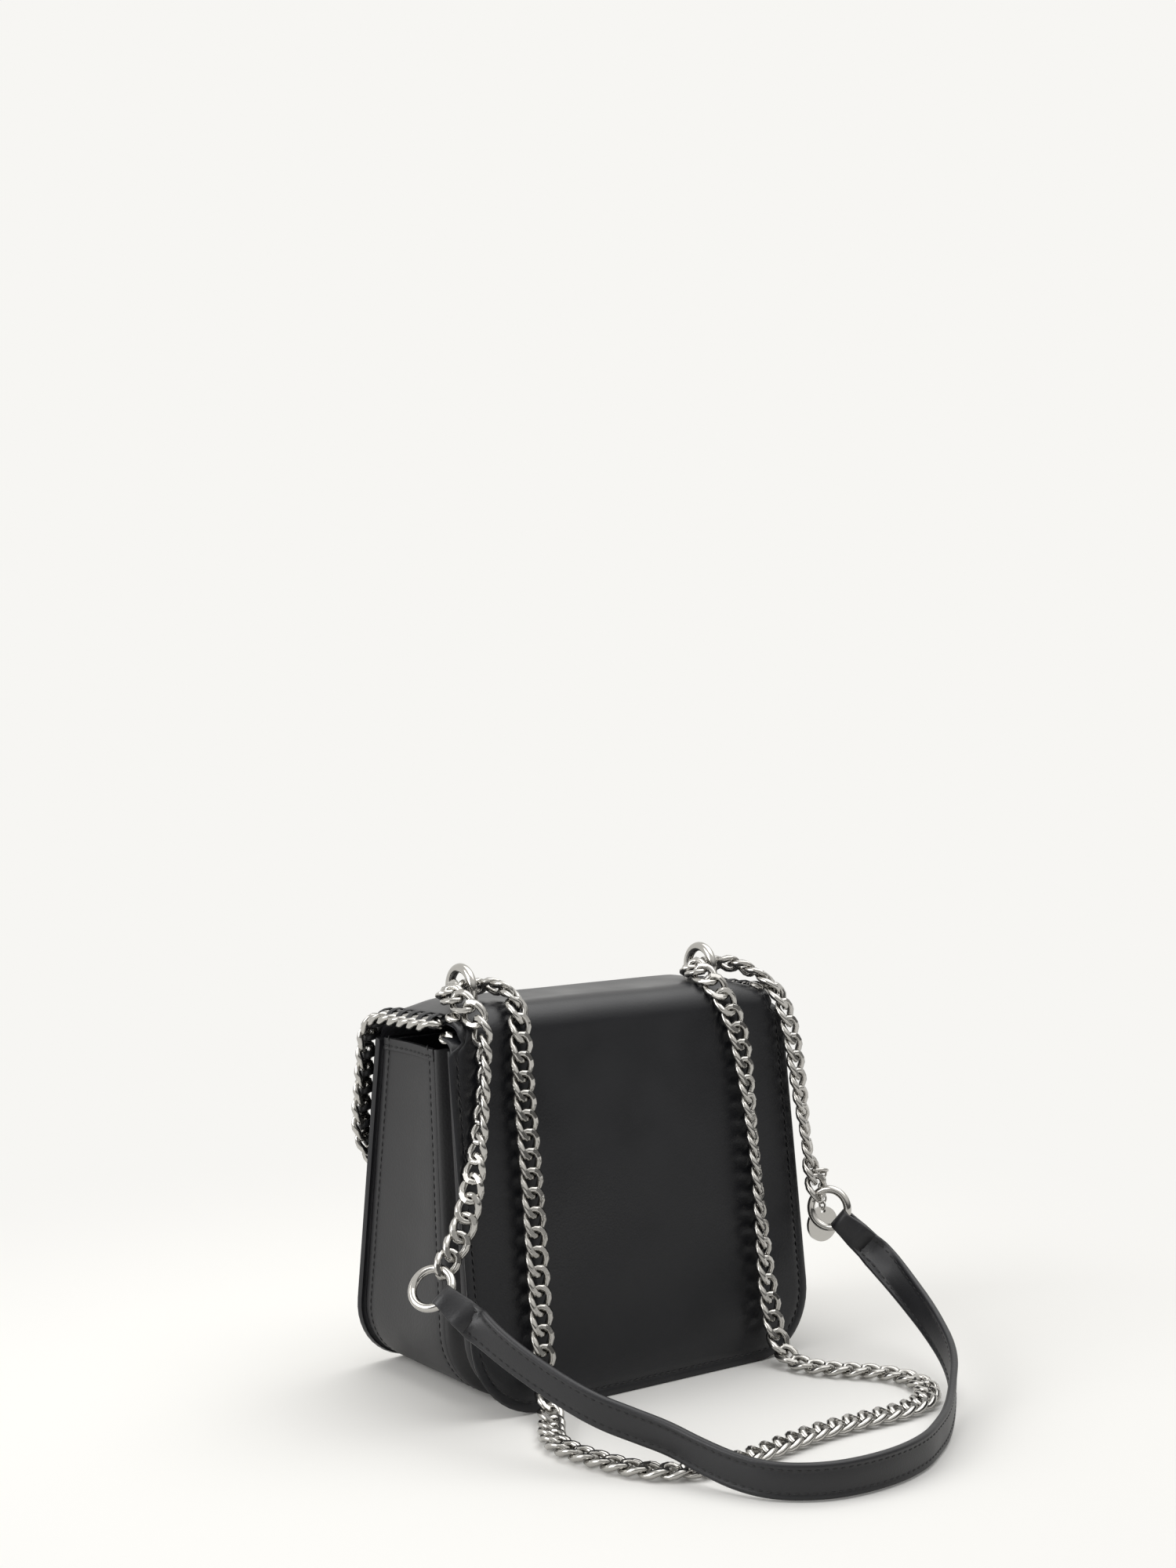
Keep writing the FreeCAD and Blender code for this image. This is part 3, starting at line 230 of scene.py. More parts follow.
def add(tree, kind, settings=None, links=None):
    """Node of a kind, with its settings and with links to its inputs."""
    node = tree.nodes.new(kind)
    for key, value in (settings or {}).items():
        if isinstance(key, str) and hasattr(node, key):
            setattr(node, key, value)
        else:
            node.inputs[key].default_value = value
    for key, socket in (links or {}).items():
        tree.links.new(socket, node.inputs[key])
    return node


def surface(name, colour, settings):
    """Material with a Principled shader, and its tree, its shader and object coordinates."""
    material = bpy.data.materials.new(name)
    material.use_nodes = True
    tree = material.node_tree
    shader = tree.nodes["Principled BSDF"]
    shader.inputs["Base Color"].default_value = linear(colour)
    for key, value in settings.items():
        shader.inputs[key].default_value = value
    place = add(tree, "ShaderNodeTexCoord").outputs["Object"]
    return material, tree, shader, place


def per_mm(size):
    """Texture scale whose pattern repeats about once in a size in millimetres."""
    return 1 / (size * MM)


# Places of a Mix node's sockets for colours
MIX_DARK, MIX_LIGHT, MIX_COLOUR = 6, 7, 2

# Distance between the bands of a wave texture of scale 1
WAVE_PERIOD = 2 * math.pi / 20


def calf(name, colour, light, pore, roughness, depth):
    """Smooth tanned calf: tiny pores that break up a satin sheen, and slow changes of gloss.

    Real pores are about 0.2 mm apart; they are drawn at 0.7 to 1.2 mm to show.
    """
    material, tree, shader, place = surface(name, colour, {"Specular IOR Level": 0.5, "IOR": 1.5})
    pores = add(tree, "ShaderNodeTexVoronoi", {"Scale": per_mm(pore)}, {"Vector": place})
    fibres, clouds = (
        add(tree, "ShaderNodeTexNoise", {"Scale": per_mm(size), "Detail": detail},
            {"Vector": place}).outputs["Fac"]
        for size, detail in ((0.35, 3.0), (28, 2.0)))
    shade = add(tree, "ShaderNodeMix",
                {"data_type": "RGBA", MIX_DARK: linear(colour), MIX_LIGHT: linear(light)},
                {"Factor": clouds})
    tree.links.new(shade.outputs[MIX_COLOUR], shader.inputs["Base Color"])
    gloss = add(tree, "ShaderNodeMapRange",
                {"From Min": 0.3, "From Max": 0.7,
                 "To Min": roughness - 0.05, "To Max": roughness + 0.06},
                {"Value": clouds})
    tree.links.new(gloss.outputs["Result"], shader.inputs["Roughness"])
    grain = add(tree, "ShaderNodeMath", {"operation": "MULTIPLY_ADD", 1: 0.35},
                {0: fibres, 2: pores.outputs["Distance"]})
    bump = add(tree, "ShaderNodeBump", {"Strength": depth, "Distance": 0.12 * MM},
               {"Height": grain.outputs["Value"]})
    tree.links.new(bump.outputs["Normal"], shader.inputs["Normal"])
    return material


def plated(name, colour, roughness, scratch):
    """Nickel-plated and tumbled metal: mirror-like, with handling marks that vary its gloss.

    Real marks are finer than 0.1 mm; they are drawn at 0.5 to 1.2 mm to show.
    """
    material, tree, shader, place = surface(name, colour, {"Metallic": 1.0})
    marks = add(tree, "ShaderNodeTexNoise",
                {"Scale": per_mm(scratch), "Detail": 4.0, "Distortion": 1.5}, {"Vector": place})
    gloss = add(tree, "ShaderNodeMapRange",
                {"From Min": 0.35, "From Max": 0.75,
                 "To Min": roughness, "To Max": roughness + 0.1},
                {"Value": marks.outputs["Fac"]})
    tree.links.new(gloss.outputs["Result"], shader.inputs["Roughness"])
    dents = add(tree, "ShaderNodeTexNoise", {"Scale": per_mm(2.4), "Detail": 1.0},
                {"Vector": place})
    bump = add(tree, "ShaderNodeBump", {"Strength": 0.12, "Distance": 0.1 * MM},
               {"Height": dents.outputs["Fac"]})
    tree.links.new(bump.outputs["Normal"], shader.inputs["Normal"])
    return material


def twill(name, colour, light):
    """Woven twill lining: dull diagonal ribs.

    Real ribs are 0.4 mm apart; they are drawn at 1.7 mm to show.
    """
    material, tree, shader, place = surface(name, colour, {"Roughness": 0.85, "Sheen Weight": 0.25})
    turned = add(tree, "ShaderNodeMapping", {"Rotation": (0.6, 0.5, math.radians(45))},
                 {"Vector": place})
    ribs = add(tree, "ShaderNodeTexWave",
               {"Scale": WAVE_PERIOD * per_mm(1.7), "Distortion": 0.6, "Detail": 1.0},
               {"Vector": turned.outputs["Vector"]}).outputs["Fac"]
    shade = add(tree, "ShaderNodeMix",
                {"data_type": "RGBA", MIX_DARK: linear(colour), MIX_LIGHT: linear(light)},
                {"Factor": ribs})
    tree.links.new(shade.outputs[MIX_COLOUR], shader.inputs["Base Color"])
    bump = add(tree, "ShaderNodeBump", {"Strength": 0.4, "Distance": 0.15 * MM}, {"Height": ribs})
    tree.links.new(bump.outputs["Normal"], shader.inputs["Normal"])
    return material


def spun(name, colour, light):
    """Waxed polyester thread: two plies that catch a dull slanting light."""
    material, tree, shader, place = surface(name, colour, {"Roughness": 0.6})
    plies = add(tree, "ShaderNodeTexWave", {"Scale": WAVE_PERIOD * per_mm(0.94), "Distortion": 1.0},
                {"Vector": place})
    shade = add(tree, "ShaderNodeMix",
                {"data_type": "RGBA", MIX_DARK: linear(colour), MIX_LIGHT: linear(light)},
                {"Factor": plies.outputs["Fac"]})
    tree.links.new(shade.outputs[MIX_COLOUR], shader.inputs["Base Color"])
    return material


MATERIALS = {}


def make_materials(colours):
    """Every material, under the name by which the pieces ask for it."""
    MATERIALS.update(
        calf=calf("smooth_black_calf", colours.leather, "15161B", 0.9, 0.36, 0.25),
        soft_calf=calf("soft_black_calf", colours.soft_leather, "232325", 1.2, 0.5, 0.4),
        strap_calf=calf("strap_black_calf", colours.leather, "202023", 0.8, 0.4, 0.3),
        lining=twill("navy_twill", colours.lining, "1D1F2C"),
        chain=plated("nickel_plated_curb_chain", colours.metal, 0.13, 0.8),
        polished=plated("nickel_plated_casting", colours.metal, 0.08, 1.2),
        satin=plated("satin_steel", "9C9B98", 0.32, 0.5),
        thread=spun("waxed_black_thread", colours.thread, "1C1C1E"),
        lace=calf("black_leather_lace", colours.leather, "1E1E21", 0.7, 0.45, 0.35))


# Mesh steps that the pieces share


def show(name, data):
    """Object with this data, in the scene."""
    obj = bpy.data.objects.new(name, data)
    bpy.context.scene.collection.objects.link(obj)
    return obj


def discard(obj):
    """Remove an object and its mesh."""
    mesh = obj.data
    bpy.data.objects.remove(obj)
    bpy.data.meshes.remove(mesh)


def in_metres(points):
    return [tuple(float(c) * MM for c in point) for point in points]


def piece(name, points, faces, material=None):
    """Smooth mesh object from points in millimetres."""
    mesh = bpy.data.meshes.new(name)
    mesh.from_pydata(in_metres(points), [], faces)
    mesh.update()
    mesh.shade_smooth()
    if material:
        mesh.materials.append(MATERIALS[material])
    return show(name, mesh)


def apply_modifiers(obj):
    """Replace an object's mesh by what its modifiers make of it."""
    graph = bpy.context.evaluated_depsgraph_get()
    mesh = bpy.data.meshes.new_from_object(obj.evaluated_get(graph))
    old = obj.data
    obj.modifiers.clear()
    obj.data = mesh
    mesh.name = obj.name
    bpy.data.meshes.remove(old)
    return obj


# Angle past which an edge of a sheet counts as cut
RIM_ANGLE = math.radians(50)


def thicken(obj, thickness, edge=0.5):
    """Give a sheet its thickness, inwards, and round its cut edges."""
    wall = obj.modifiers.new("wall", "SOLIDIFY")
    wall.thickness = thickness * MM
    wall.offset = -1
    wall.use_even_offset = True
    rim = obj.modifiers.new("rim", "BEVEL")
    rim.width = edge * MM
    rim.segments = 2
    rim.limit_method = "ANGLE"
    rim.angle_limit = RIM_ANGLE
    apply_modifiers(obj)
    obj.data.shade_smooth()
    return obj


def joined(name, parts):
    """One object from several."""
    builder = bmesh.new()
    materials = []
    for part in parts:
        start = len(builder.faces)
        builder.from_mesh(part.data)
        builder.faces.ensure_lookup_table()
        slots = []
        for material in part.data.materials:
            if material not in materials:
                materials.append(material)
            slots.append(materials.index(material))
        for face in builder.faces[start:]:
            face.material_index = slots[face.material_index] if slots else 0
    mesh = bpy.data.meshes.new(name)
    builder.to_mesh(mesh)
    builder.free()
    for material in materials:
        mesh.materials.append(material)
    for part in parts:
        discard(part)
    return show(name, mesh)


def spline_points(controls, resolution):
    """Points read from a smooth NURBS line with these control points."""
    curve = bpy.data.curves.new("route", "CURVE")
    curve.dimensions = "3D"
    line = curve.splines.new("NURBS")
    line.points.add(len(controls) - 1)
    for point, control in zip(line.points, controls):
        point.co = (*control, 1)
    line.order_u = 3
    line.use_endpoint_u = True
    line.resolution_u = resolution
    curve.resolution_u = resolution
    holder = show("route", curve)
    bpy.context.view_layer.update()
    mesh = bpy.data.meshes.new_from_object(holder)
    points = np.array([vertex.co for vertex in mesh.vertices], float)
    bpy.data.objects.remove(holder)
    bpy.data.curves.remove(curve)
    bpy.data.meshes.remove(mesh)
    return points


def lengths(points):
    """Distance along a line at each of its points."""
    steps = np.linalg.norm(np.diff(points, axis=0), axis=1)
    return np.concatenate([[0], np.cumsum(steps)])


def unit(vectors):
    vectors = np.asarray(vectors, float)
    return vectors / np.linalg.norm(vectors, axis=-1, keepdims=True)


def around(steps):
    """Angles of even steps round a circle."""
    return np.linspace(0, 2 * math.pi, steps, endpoint=False)


# Geometry Nodes trees for what repeats along a line


# Places of Trim Curve's inputs that are lengths and not factors
TRIM_FROM, TRIM_TO = 4, 5


def line_tree(name, spaced):
    """Tree that sets a piece along lines: a number of times between two places, or spaced."""
    tree = bpy.data.node_groups.new(name, "GeometryNodeTree")
    interface = tree.interface
    sockets = [("Line", "NodeSocketGeometry"), ("Piece", "NodeSocketObject"),
               ("Material", "NodeSocketMaterial")]
    if spaced:
        sockets += [("Spacing", "NodeSocketFloat")]
    else:
        sockets += [("Count", "NodeSocketInt"), ("Start", "NodeSocketFloat"),
                    ("End", "NodeSocketFloat")]
    for label, kind in sockets:
        interface.new_socket(name=label, in_out="INPUT", socket_type=kind)
    interface.new_socket(name="Pieces", in_out="OUTPUT", socket_type="NodeSocketGeometry")
    given = add(tree, "NodeGroupInput").outputs
    curve = add(tree, "GeometryNodeMeshToCurve", links={"Mesh": given["Line"]}).outputs["Curve"]
    if spaced:
        points = add(tree, "GeometryNodeResampleCurve", {"mode": "LENGTH"},
                     {"Curve": curve, "Length": given["Spacing"]})
    else:
        cut = add(tree, "GeometryNodeTrimCurve", {"mode": "LENGTH"},
                  {"Curve": curve, TRIM_FROM: given["Start"], TRIM_TO: given["End"]})
        points = add(tree, "GeometryNodeResampleCurve", {"mode": "COUNT"},
                     {"Curve": cut.outputs["Curve"], "Count": given["Count"]})
    tangent = add(tree, "GeometryNodeInputTangent").outputs["Tangent"]
    look = add(tree, "GeometryNodeInputNamedAttribute",
               {"data_type": "FLOAT_VECTOR", "Name": "look"})
    along = add(tree, "FunctionNodeAlignRotationToVector", {"axis": "X"}, {"Vector": tangent})
    turned = add(tree, "FunctionNodeAlignRotationToVector", {"axis": "Z", "pivot_axis": "X"},
                 {"Rotation": along.outputs["Rotation"], "Vector": look.outputs["Attribute"]})
    shape = add(tree, "GeometryNodeObjectInfo", {"transform_space": "ORIGINAL"},
                {"Object": given["Piece"]})
    placed = add(tree, "GeometryNodeInstanceOnPoints", links={
        "Points": points.outputs["Curve"], "Instance": shape.outputs["Geometry"],
        "Rotation": turned.outputs["Rotation"]})
    real = add(tree, "GeometryNodeRealizeInstances",
               links={"Geometry": placed.outputs["Instances"]})
    dressed = add(tree, "GeometryNodeSetMaterial", links={
        "Geometry": real.outputs["Geometry"], "Material": given["Material"]})
    add(tree, "NodeGroupOutput", links={"Pieces": dressed.outputs["Geometry"]})
    return tree


TREES = {}


def along_lines(name, tree, lines, shape, material, values):
    """Plain mesh of a shape repeated along lines: points in millimetres and a look at each."""
    points, edges, looks = [], [], []
    for line, look in lines:
        first = len(points)
        points += [tuple(point) for point in line]
        looks += [tuple(way) for way in look]
        edges += [(first + i, first + i + 1) for i in range(len(line) - 1)]
    mesh = bpy.data.meshes.new(name)
    mesh.from_pydata(in_metres(points), edges, [])
    attribute = mesh.attributes.new("look", "FLOAT_VECTOR", "POINT")
    attribute.data.foreach_set("vector", np.array(looks, np.float32).ravel())
    obj = show(name, mesh)
    modifier = obj.modifiers.new("repeat", "NODES")
    modifier.node_group = TREES[tree]
    given = {"Piece": shape, "Material": MATERIALS[material], **values}
    for item in TREES[tree].interface.items_tree:
        if item.in_out == "INPUT" and item.name in given:
            modifier[item.identifier] = given[item.name]
    apply_modifiers(obj)
    discard(shape)
    return obj


# Shapes that repeat


# A link's middle line: half its length, half its width and the rise of its twist
LINK_LENGTH, LINK_WIDTH, LINK_RISE = 5.55, 4.2, 1.55
LINK_TURNS, LINK_SIDES = 18, 6

# Metres by which a point may miss the ground face and still count as on it
GRIND_SLACK = 1e-7

# A stitch: half its length, its girth and flatness, its slant, its height and the dip of its ends
STITCH_HALF, STITCH_GIRTH, STITCH_FLATNESS = 1.35, 0.36, 0.8
STITCH_SLANT, STITCH_RISE, STITCH_DIP = 0.12, 0.28, 0.55
STITCH_SIDES = 6
STITCH_PLACES = (-1, -0.7, -0.25, 0.25, 0.7, 1)
STITCH_FULL, STITCH_TIP = 1.05, 0.15

# A wrap of lace: its reach over the edge, its height, slant and place, and the lace's section
LACE_REACH, LACE_RISE, LACE_SLANT, LACE_PLACE = 4.6, 2.5, 0.9, -4.0
LACE_TURNS = 12
LACE_SECTION = ((-1, -0.2), (-0.75, 0.42), (0, 0.62), (0.75, 0.42), (1, -0.2), (0, -0.4))


def tube_shape(name, rows, closed, material=None):
    """Tube given as rows of points round it, closed on itself or capped."""
    points = [point for row in rows for point in row]
    faces = []
    count, sides = len(rows), len(rows[0])
    for step in range(count if closed else count - 1):
        ahead = (step + 1) % count
        for side in range(sides):
            beside = (side + 1) % sides
            faces.append((step * sides + side, ahead * sides + side,
                          ahead * sides + beside, step * sides + beside))
    if not closed:
        faces.append(tuple(range(sides)))
        faces.append(tuple((count - 1) * sides + side for side in reversed(range(sides))))
    shape = piece(name, points, faces, material)
    builder = bmesh.new()
    builder.from_mesh(shape.data)
    bmesh.ops.recalc_face_normals(builder, faces=builder.faces)
    builder.to_mesh(shape.data)
    builder.free()
    return shape


def link_shape(sizes):
    """Curb link: a twisted oval of round wire whose two faces are ground flat, with crisp edges."""
    reach, level = sizes.link_wire / MM / 2, sizes.link_grind / MM
    rows = []
    for angle in around(LINK_TURNS):
        cos, sin = math.cos(angle), math.sin(angle)
        middle = Vector((LINK_LENGTH * cos, LINK_WIDTH * sin, -LINK_RISE * math.sin(2 * angle)))
        ahead = Vector((-LINK_LENGTH * sin, LINK_WIDTH * cos, -2 * LINK_RISE * math.cos(2 * angle)))
        out = ahead.cross(Vector((0, 0, 1))).normalized()
        up = out.cross(ahead).normalized()
        row = [middle + out * (reach * math.cos(turn)) + up * (reach * math.sin(turn))
               for turn in around(LINK_SIDES)]
        for point in row:
            point.z = max(-level, min(level, point.z))
        rows.append(row)
    shape = tube_shape("link", rows, True)
    ground = level * MM - GRIND_SLACK
    builder = bmesh.new()
    builder.from_mesh(shape.data)
    for edge in builder.edges:
        flat = [all(abs(corner.co.z) > ground for corner in face.verts) for face in edge.link_faces]
        edge.smooth = len(flat) != 2 or flat[0] == flat[1]
    builder.to_mesh(shape.data)
    builder.free()
    return shape


def stitch_shape():
    """Sewn stitch: a short length of thread that dips into the leather at both ends."""
    rows = []
    for share in STITCH_PLACES:
        middle = Vector((STITCH_HALF * share, STITCH_SLANT * share,
                         STITCH_RISE - STITCH_DIP * share ** 4))
        wide = STITCH_GIRTH * math.sqrt(max(STITCH_TIP, STITCH_FULL - share ** 2))
        high = wide * STITCH_FLATNESS
        rows.append([middle + Vector((0, wide * math.cos(turn), high * math.sin(turn)))
                     for turn in around(STITCH_SIDES)])
    return tube_shape("stitch", rows, False)


def lace_shape(sizes):
    """One wrap of lace round the flap's edge and the near wire of a link."""
    half = sizes.lace_width / MM / 2
    rows = []
    for turn in around(LACE_TURNS):
        cos, sin = math.cos(turn), math.sin(turn)
        middle = Vector((LACE_SLANT * sin, LACE_REACH * cos + LACE_PLACE, LACE_RISE * sin))
        out = Vector((0, cos / LACE_REACH, sin / LACE_RISE)).normalized()
        rows.append([middle + Vector((half * across, 0, 0)) + out * height
                     for across, height in LACE_SECTION])
    return tube_shape("lace_wrap", rows, True)


# Sheets of leather


# Distance between points along the side view of the shell
FOLD_STEP = 0.25


def folded(corners, radii):
    """Side view of a sheet with rounded corners: its points, outward normals and lengths."""
    corners = [np.array(corner, float) for corner in corners]
    points = [corners[0]]
    for index, radius in enumerate(radii, start=1):
        before = unit(corners[index - 1] - corners[index])
        after = unit(corners[index + 1] - corners[index])
        half = math.acos(float(before @ after)) / 2
        setback = radius / math.tan(half)
        first, last = corners[index] + before * setback, corners[index] + after * setback
        centre = corners[index] + unit(before + after) * (radius / math.sin(half))
        start = math.atan2(*(first - centre)[::-1])
        sweep = math.atan2(*(last - centre)[::-1]) - start
        sweep = (sweep + math.pi) % (2 * math.pi) - math.pi
        for share in np.linspace(0, 1, max(4, int(abs(sweep) * radius / FOLD_STEP))):
            angle = start + sweep * share
            points.append(centre + radius * np.array([math.cos(angle), math.sin(angle)]))
    points.append(corners[-1])
    raw = np.array(points)
    along = lengths(raw)
    fine = np.arange(0, along[-1] + FOLD_STEP / 2, FOLD_STEP)
    fine[-1] = along[-1]
    line = np.stack([np.interp(fine, along, raw[:, axis]) for axis in (0, 1)], axis=1)
    ahead = unit(np.gradient(line, axis=0))
    normals = np.stack([ahead[:, 1], -ahead[:, 0]], axis=1)
    return line, normals, fine


def back_y(height):
    return BASE_DEPTH / 2 - LEAN * height


def front_y(height):
    return -BASE_DEPTH / 2 + LEAN * height


def divider_y(height):
    return DIVIDER_DEPTH - DIVIDER_LEAN * height


STRETCH = math.sqrt(1 + LEAN ** 2)
TOP_AT_MIDDLE = RIDGE - TOP_FALL * back_y(RIDGE)
DROP_AT_FLOOR = -BASE_DEPTH / 2 - FLAP_STANDOFF * STRETCH
RIDGE_DEPTH = (back_y(0) - LEAN * TOP_AT_MIDDLE) / (1 + LEAN * TOP_FALL)
FRONT_DEPTH = (DROP_AT_FLOOR + LEAN * TOP_AT_MIDDLE) / (1 - LEAN * TOP_FALL)
SHELL_LINE, SHELL_NORMAL, SHELL_LENGTH = folded(
    [(back_y(0), 0), (RIDGE_DEPTH, TOP_AT_MIDDLE + TOP_FALL * RIDGE_DEPTH),
     (FRONT_DEPTH, TOP_AT_MIDDLE + TOP_FALL * FRONT_DEPTH), (DROP_AT_FLOOR, 0)],
    [RIDGE_RADIUS, FRONT_RADIUS])
SHELL_END = SHELL_LENGTH[-1] - HEM * STRETCH
SPLIT_AT = FLAP_SPLIT * STRETCH

# How far the flap's soft side edges hang, and the place across from which they do
EDGE_DROOP = 4.0
DROOP_FROM = 62.0

# How far below the ridge's height the shell still counts as its top
RIDGE_DIP = 8


def shell(x, s, lift=0.0):
    """Point on the shell's outer face, by its place across and its length from the back's foot.

    A lift moves it out, and the flap's side edges droop.
    """
    y, z = (np.interp(s, SHELL_LENGTH, SHELL_LINE[:, axis]) for axis in (0, 1))
    out_y, out_z = shell_normal(s)
    edge = min(1, max(0, abs(x) - DROOP_FROM) / (FLAP_HALF - DROOP_FROM))
    droop = EDGE_DROOP * edge * edge * (3 - 2 * edge) * max(0, out_z) ** 2
    return Vector((x, y + out_y * lift, z + out_z * lift - droop))


def shell_normal(s):
    return [float(np.interp(s, SHELL_LENGTH, SHELL_NORMAL[:, axis])) for axis in (0, 1)]


def ridge_place(depth):
    """Length along the shell at a depth on top of the ridge."""
    on_top = (SHELL_LINE[:, 0] < depth) & (SHELL_LINE[:, 1] > RIDGE - RIDGE_DIP)
    return SHELL_LENGTH[np.nonzero(on_top)[0][0]]


# Distance of a seam from the edge, and depths of the rings of points that follow the edge
SEAM_INSET = 4.0
RING_DEPTHS = (0, 0.6, 1.5, 2.7, 3.4, SEAM_INSET, 4.6, 5.3, 7, 10)

# Points on half of a rounded corner, and the depth that counts as the middle of a sheet
ARC_POINTS = 7
INNER_DEPTH = 100


def outline(half, low_corner, high_corner, low, high, across, along):
    """Closed outline in the flat, rounded below and above, and its steps across and along."""

    def arc(height, turn, sense, first, last):
        reach = half - turn
        return [(reach + turn * math.sin(angle), height + sense * turn * (1 - math.cos(angle)))
                for angle in np.linspace(first, last, ARC_POINTS if turn else 1)]

    def edge(height, turn, sense):
        right = arc(height, turn, sense, 0, math.pi / 4)
        reach = right[0][0]
        left = [(-x, z) for x, z in reversed(right)]
        between = np.linspace(-reach, reach, across + 3 - 2 * len(right))[1:-1]
        return left + [(x, height) for x in between] + right

    bottom, top = edge(low, low_corner, 1), edge(high, high_corner, -1)[::-1]
    lower = arc(low, low_corner, 1, math.pi / 4, math.pi / 2)
    upper = arc(high, high_corner, -1, math.pi / 4, math.pi / 2)[::-1]
    room = along + 3 - len(lower) - len(upper)
    middle = [(half, z) for z in np.linspace(lower[-1][1], upper[0][1], room)[1:-1]]
    right = lower + middle + upper
    left = [(-x, z) for x, z in reversed(right)]
    return np.array(bottom[:-1] + right[:-1] + top[:-1] + left[:-1]), across, along


def inset(loop, across, along, depth):
    """Outline moved inwards by a depth, with the points of each side spread out again."""
    before = unit(loop - np.roll(loop, 1, axis=0))
    after = unit(np.roll(loop, -1, axis=0) - loop)
    normal = unit(np.stack([-(before + after)[:, 1], (before + after)[:, 0]], axis=1))
    spread = np.sum(normal * np.stack([-after[:, 1], after[:, 0]], axis=1), axis=1)
    moved = loop + normal * (depth / spread)[:, None]
    corners = [0, across, across + along, 2 * across + along, len(loop)]
    for first, last in zip(corners, corners[1:]):
        side = np.array([loop[k % len(loop)] for k in range(first, last + 1)])
        ahead = unit(np.gradient(side, axis=0))
        run = lengths(side)
        gained = (moved[first] - side[0]) @ ahead[0]
        lost = (moved[last % len(loop)] - side[-1]) @ -ahead[-1]
        places = gained + (run[-1] - gained - lost) * run / run[-1]
        u, v, in_u, in_v = (np.interp(places, run, values)
                            for values in (*side.T, -ahead[:, 1], ahead[:, 0]))
        moved[first + 1:last] = np.stack([u + in_u * depth, v + in_v * depth], axis=1)[1:-1]
    return moved


def patch(loop, across, along):
    """Flat mesh inside an outline: rings that follow its edge, and a grid inside them."""
    rings = [inset(loop, across, along, depth) for depth in RING_DEPTHS]
    count = len(loop)
    points = [point for ring in rings for point in ring]
    edge = [depth for depth in RING_DEPTHS for _ in range(count)]
    faces = []
    for ring in range(len(rings) - 1):
        for i in range(count):
            j = (i + 1) % count
            a, b = ring * count, (ring + 1) * count
            faces.append((a + i, a + j, b + j, b + i))
    first = (len(rings) - 1) * count
    inner = rings[-1]
    grid = -np.ones((across + 1, along + 1), int)
    for i in range(across + 1):
        grid[i, 0] = first + i
        grid[i, along] = first + (across + along + across - i)
    for j in range(along + 1):
        grid[across, j] = first + across + j
        grid[0, j] = first + (count - j) % count
    at = {index: inner[index - first] for index in range(first, first + count)}
    for i in range(1, across):
        for j in range(1, along):
            u, v = i / across, j / along
            low, high = at[grid[i, 0]], at[grid[i, along]]
            left, right = at[grid[0, j]], at[grid[across, j]]
            corners = ((1 - u) * (1 - v) * at[grid[0, 0]] + u * (1 - v) * at[grid[across, 0]]
                       + (1 - u) * v * at[grid[0, along]] + u * v * at[grid[across, along]])
            points.append((1 - v) * low + v * high + (1 - u) * left + u * right - corners)
            edge.append(RING_DEPTHS[-1] + min(u, 1 - u, v, 1 - v) * INNER_DEPTH)
            grid[i, j] = len(points) - 1
    for i in range(across):
        for j in range(along):
            faces.append((grid[i, j], grid[i + 1, j], grid[i + 1, j + 1], grid[i, j + 1]))
    return points, edge, faces


# How far and how wide a seam pulls the leather in, and how far and how wide a cut edge rolls
SEAM_PULL, SEAM_WIDTH = 0.38, 0.75
ROLL, CLOTH_ROLL, ROLL_WIDTH = 0.35, 0.2, 0.5

# Height of the stitches' line over the leather, and the distance between its points
SEAM_LIFT, SEAM_STEP = -0.32, 1.5

# Unevenness of a sheet: its size, its height, its slice of the noise and the depth where it is full
HIDE_REACH, HIDE_RIPPLE, HIDE_SLICE, HIDE_FULL = 35, 0.3, 7.0, 12


def groove(depth):
    """Height of the leather near an edge: rolled at the cut and pulled in along the seam."""
    pull = SEAM_PULL * math.exp(-((depth - SEAM_INSET) / SEAM_WIDTH) ** 2)
    return -pull - ROLL * math.exp(-(depth / ROLL_WIDTH) ** 2)


def ripple(point, reach, height):
    """Slow unevenness of a hide."""
    return height * noise.noise(Vector(point) / reach)


def leather_sheet(name, loop, across, along, place, thickness, material, seam=True, flip=False):
    """Sheet on a surface: place gives a point from flat coordinates and a lift off the surface."""
    points, edge, faces = patch(loop, across, along)
    solid = []
    for (u, v), depth in zip(points, edge):
        lift = groove(depth) if seam else -CLOTH_ROLL * math.exp(-(depth / ROLL_WIDTH) ** 2)
        lift += ripple((u, v, HIDE_SLICE), HIDE_REACH, HIDE_RIPPLE) * min(1, depth / HIDE_FULL)
        solid.append(place(u, v, lift))
    if flip:
        faces = [tuple(reversed(face)) for face in faces]
    obj = piece(name, solid, faces, material)
    return thicken(obj, thickness)


def seam_line(loop, across, along, place):
    """Points and looks along a seam that runs inside an outline."""
    ring = inset(loop, across, along, SEAM_INSET)
    ring = np.vstack([ring, ring[:1]])
    run = lengths(ring)
    even = np.linspace(0, run[-1], int(run[-1] / SEAM_STEP))
    flat = np.stack([np.interp(even, run, ring[:, axis]) for axis in (0, 1)], axis=1)
    points = [place(u, v, SEAM_LIFT) for u, v in flat]
    looks = [place(u, v, SEAM_LIFT + 1) - place(u, v, SEAM_LIFT) for u, v in flat]
    return points, looks


# The shell: back panel and flap in one hide


# Half width of the hide's pattern, where it narrows to the flap, and the relief notch at the fold
PATTERN_HALF = 87.0
NARROW_FROM, NARROW_OVER = SPLIT_AT - 3, 9
NOTCH, NOTCH_LENGTH = 5.0, 2.6

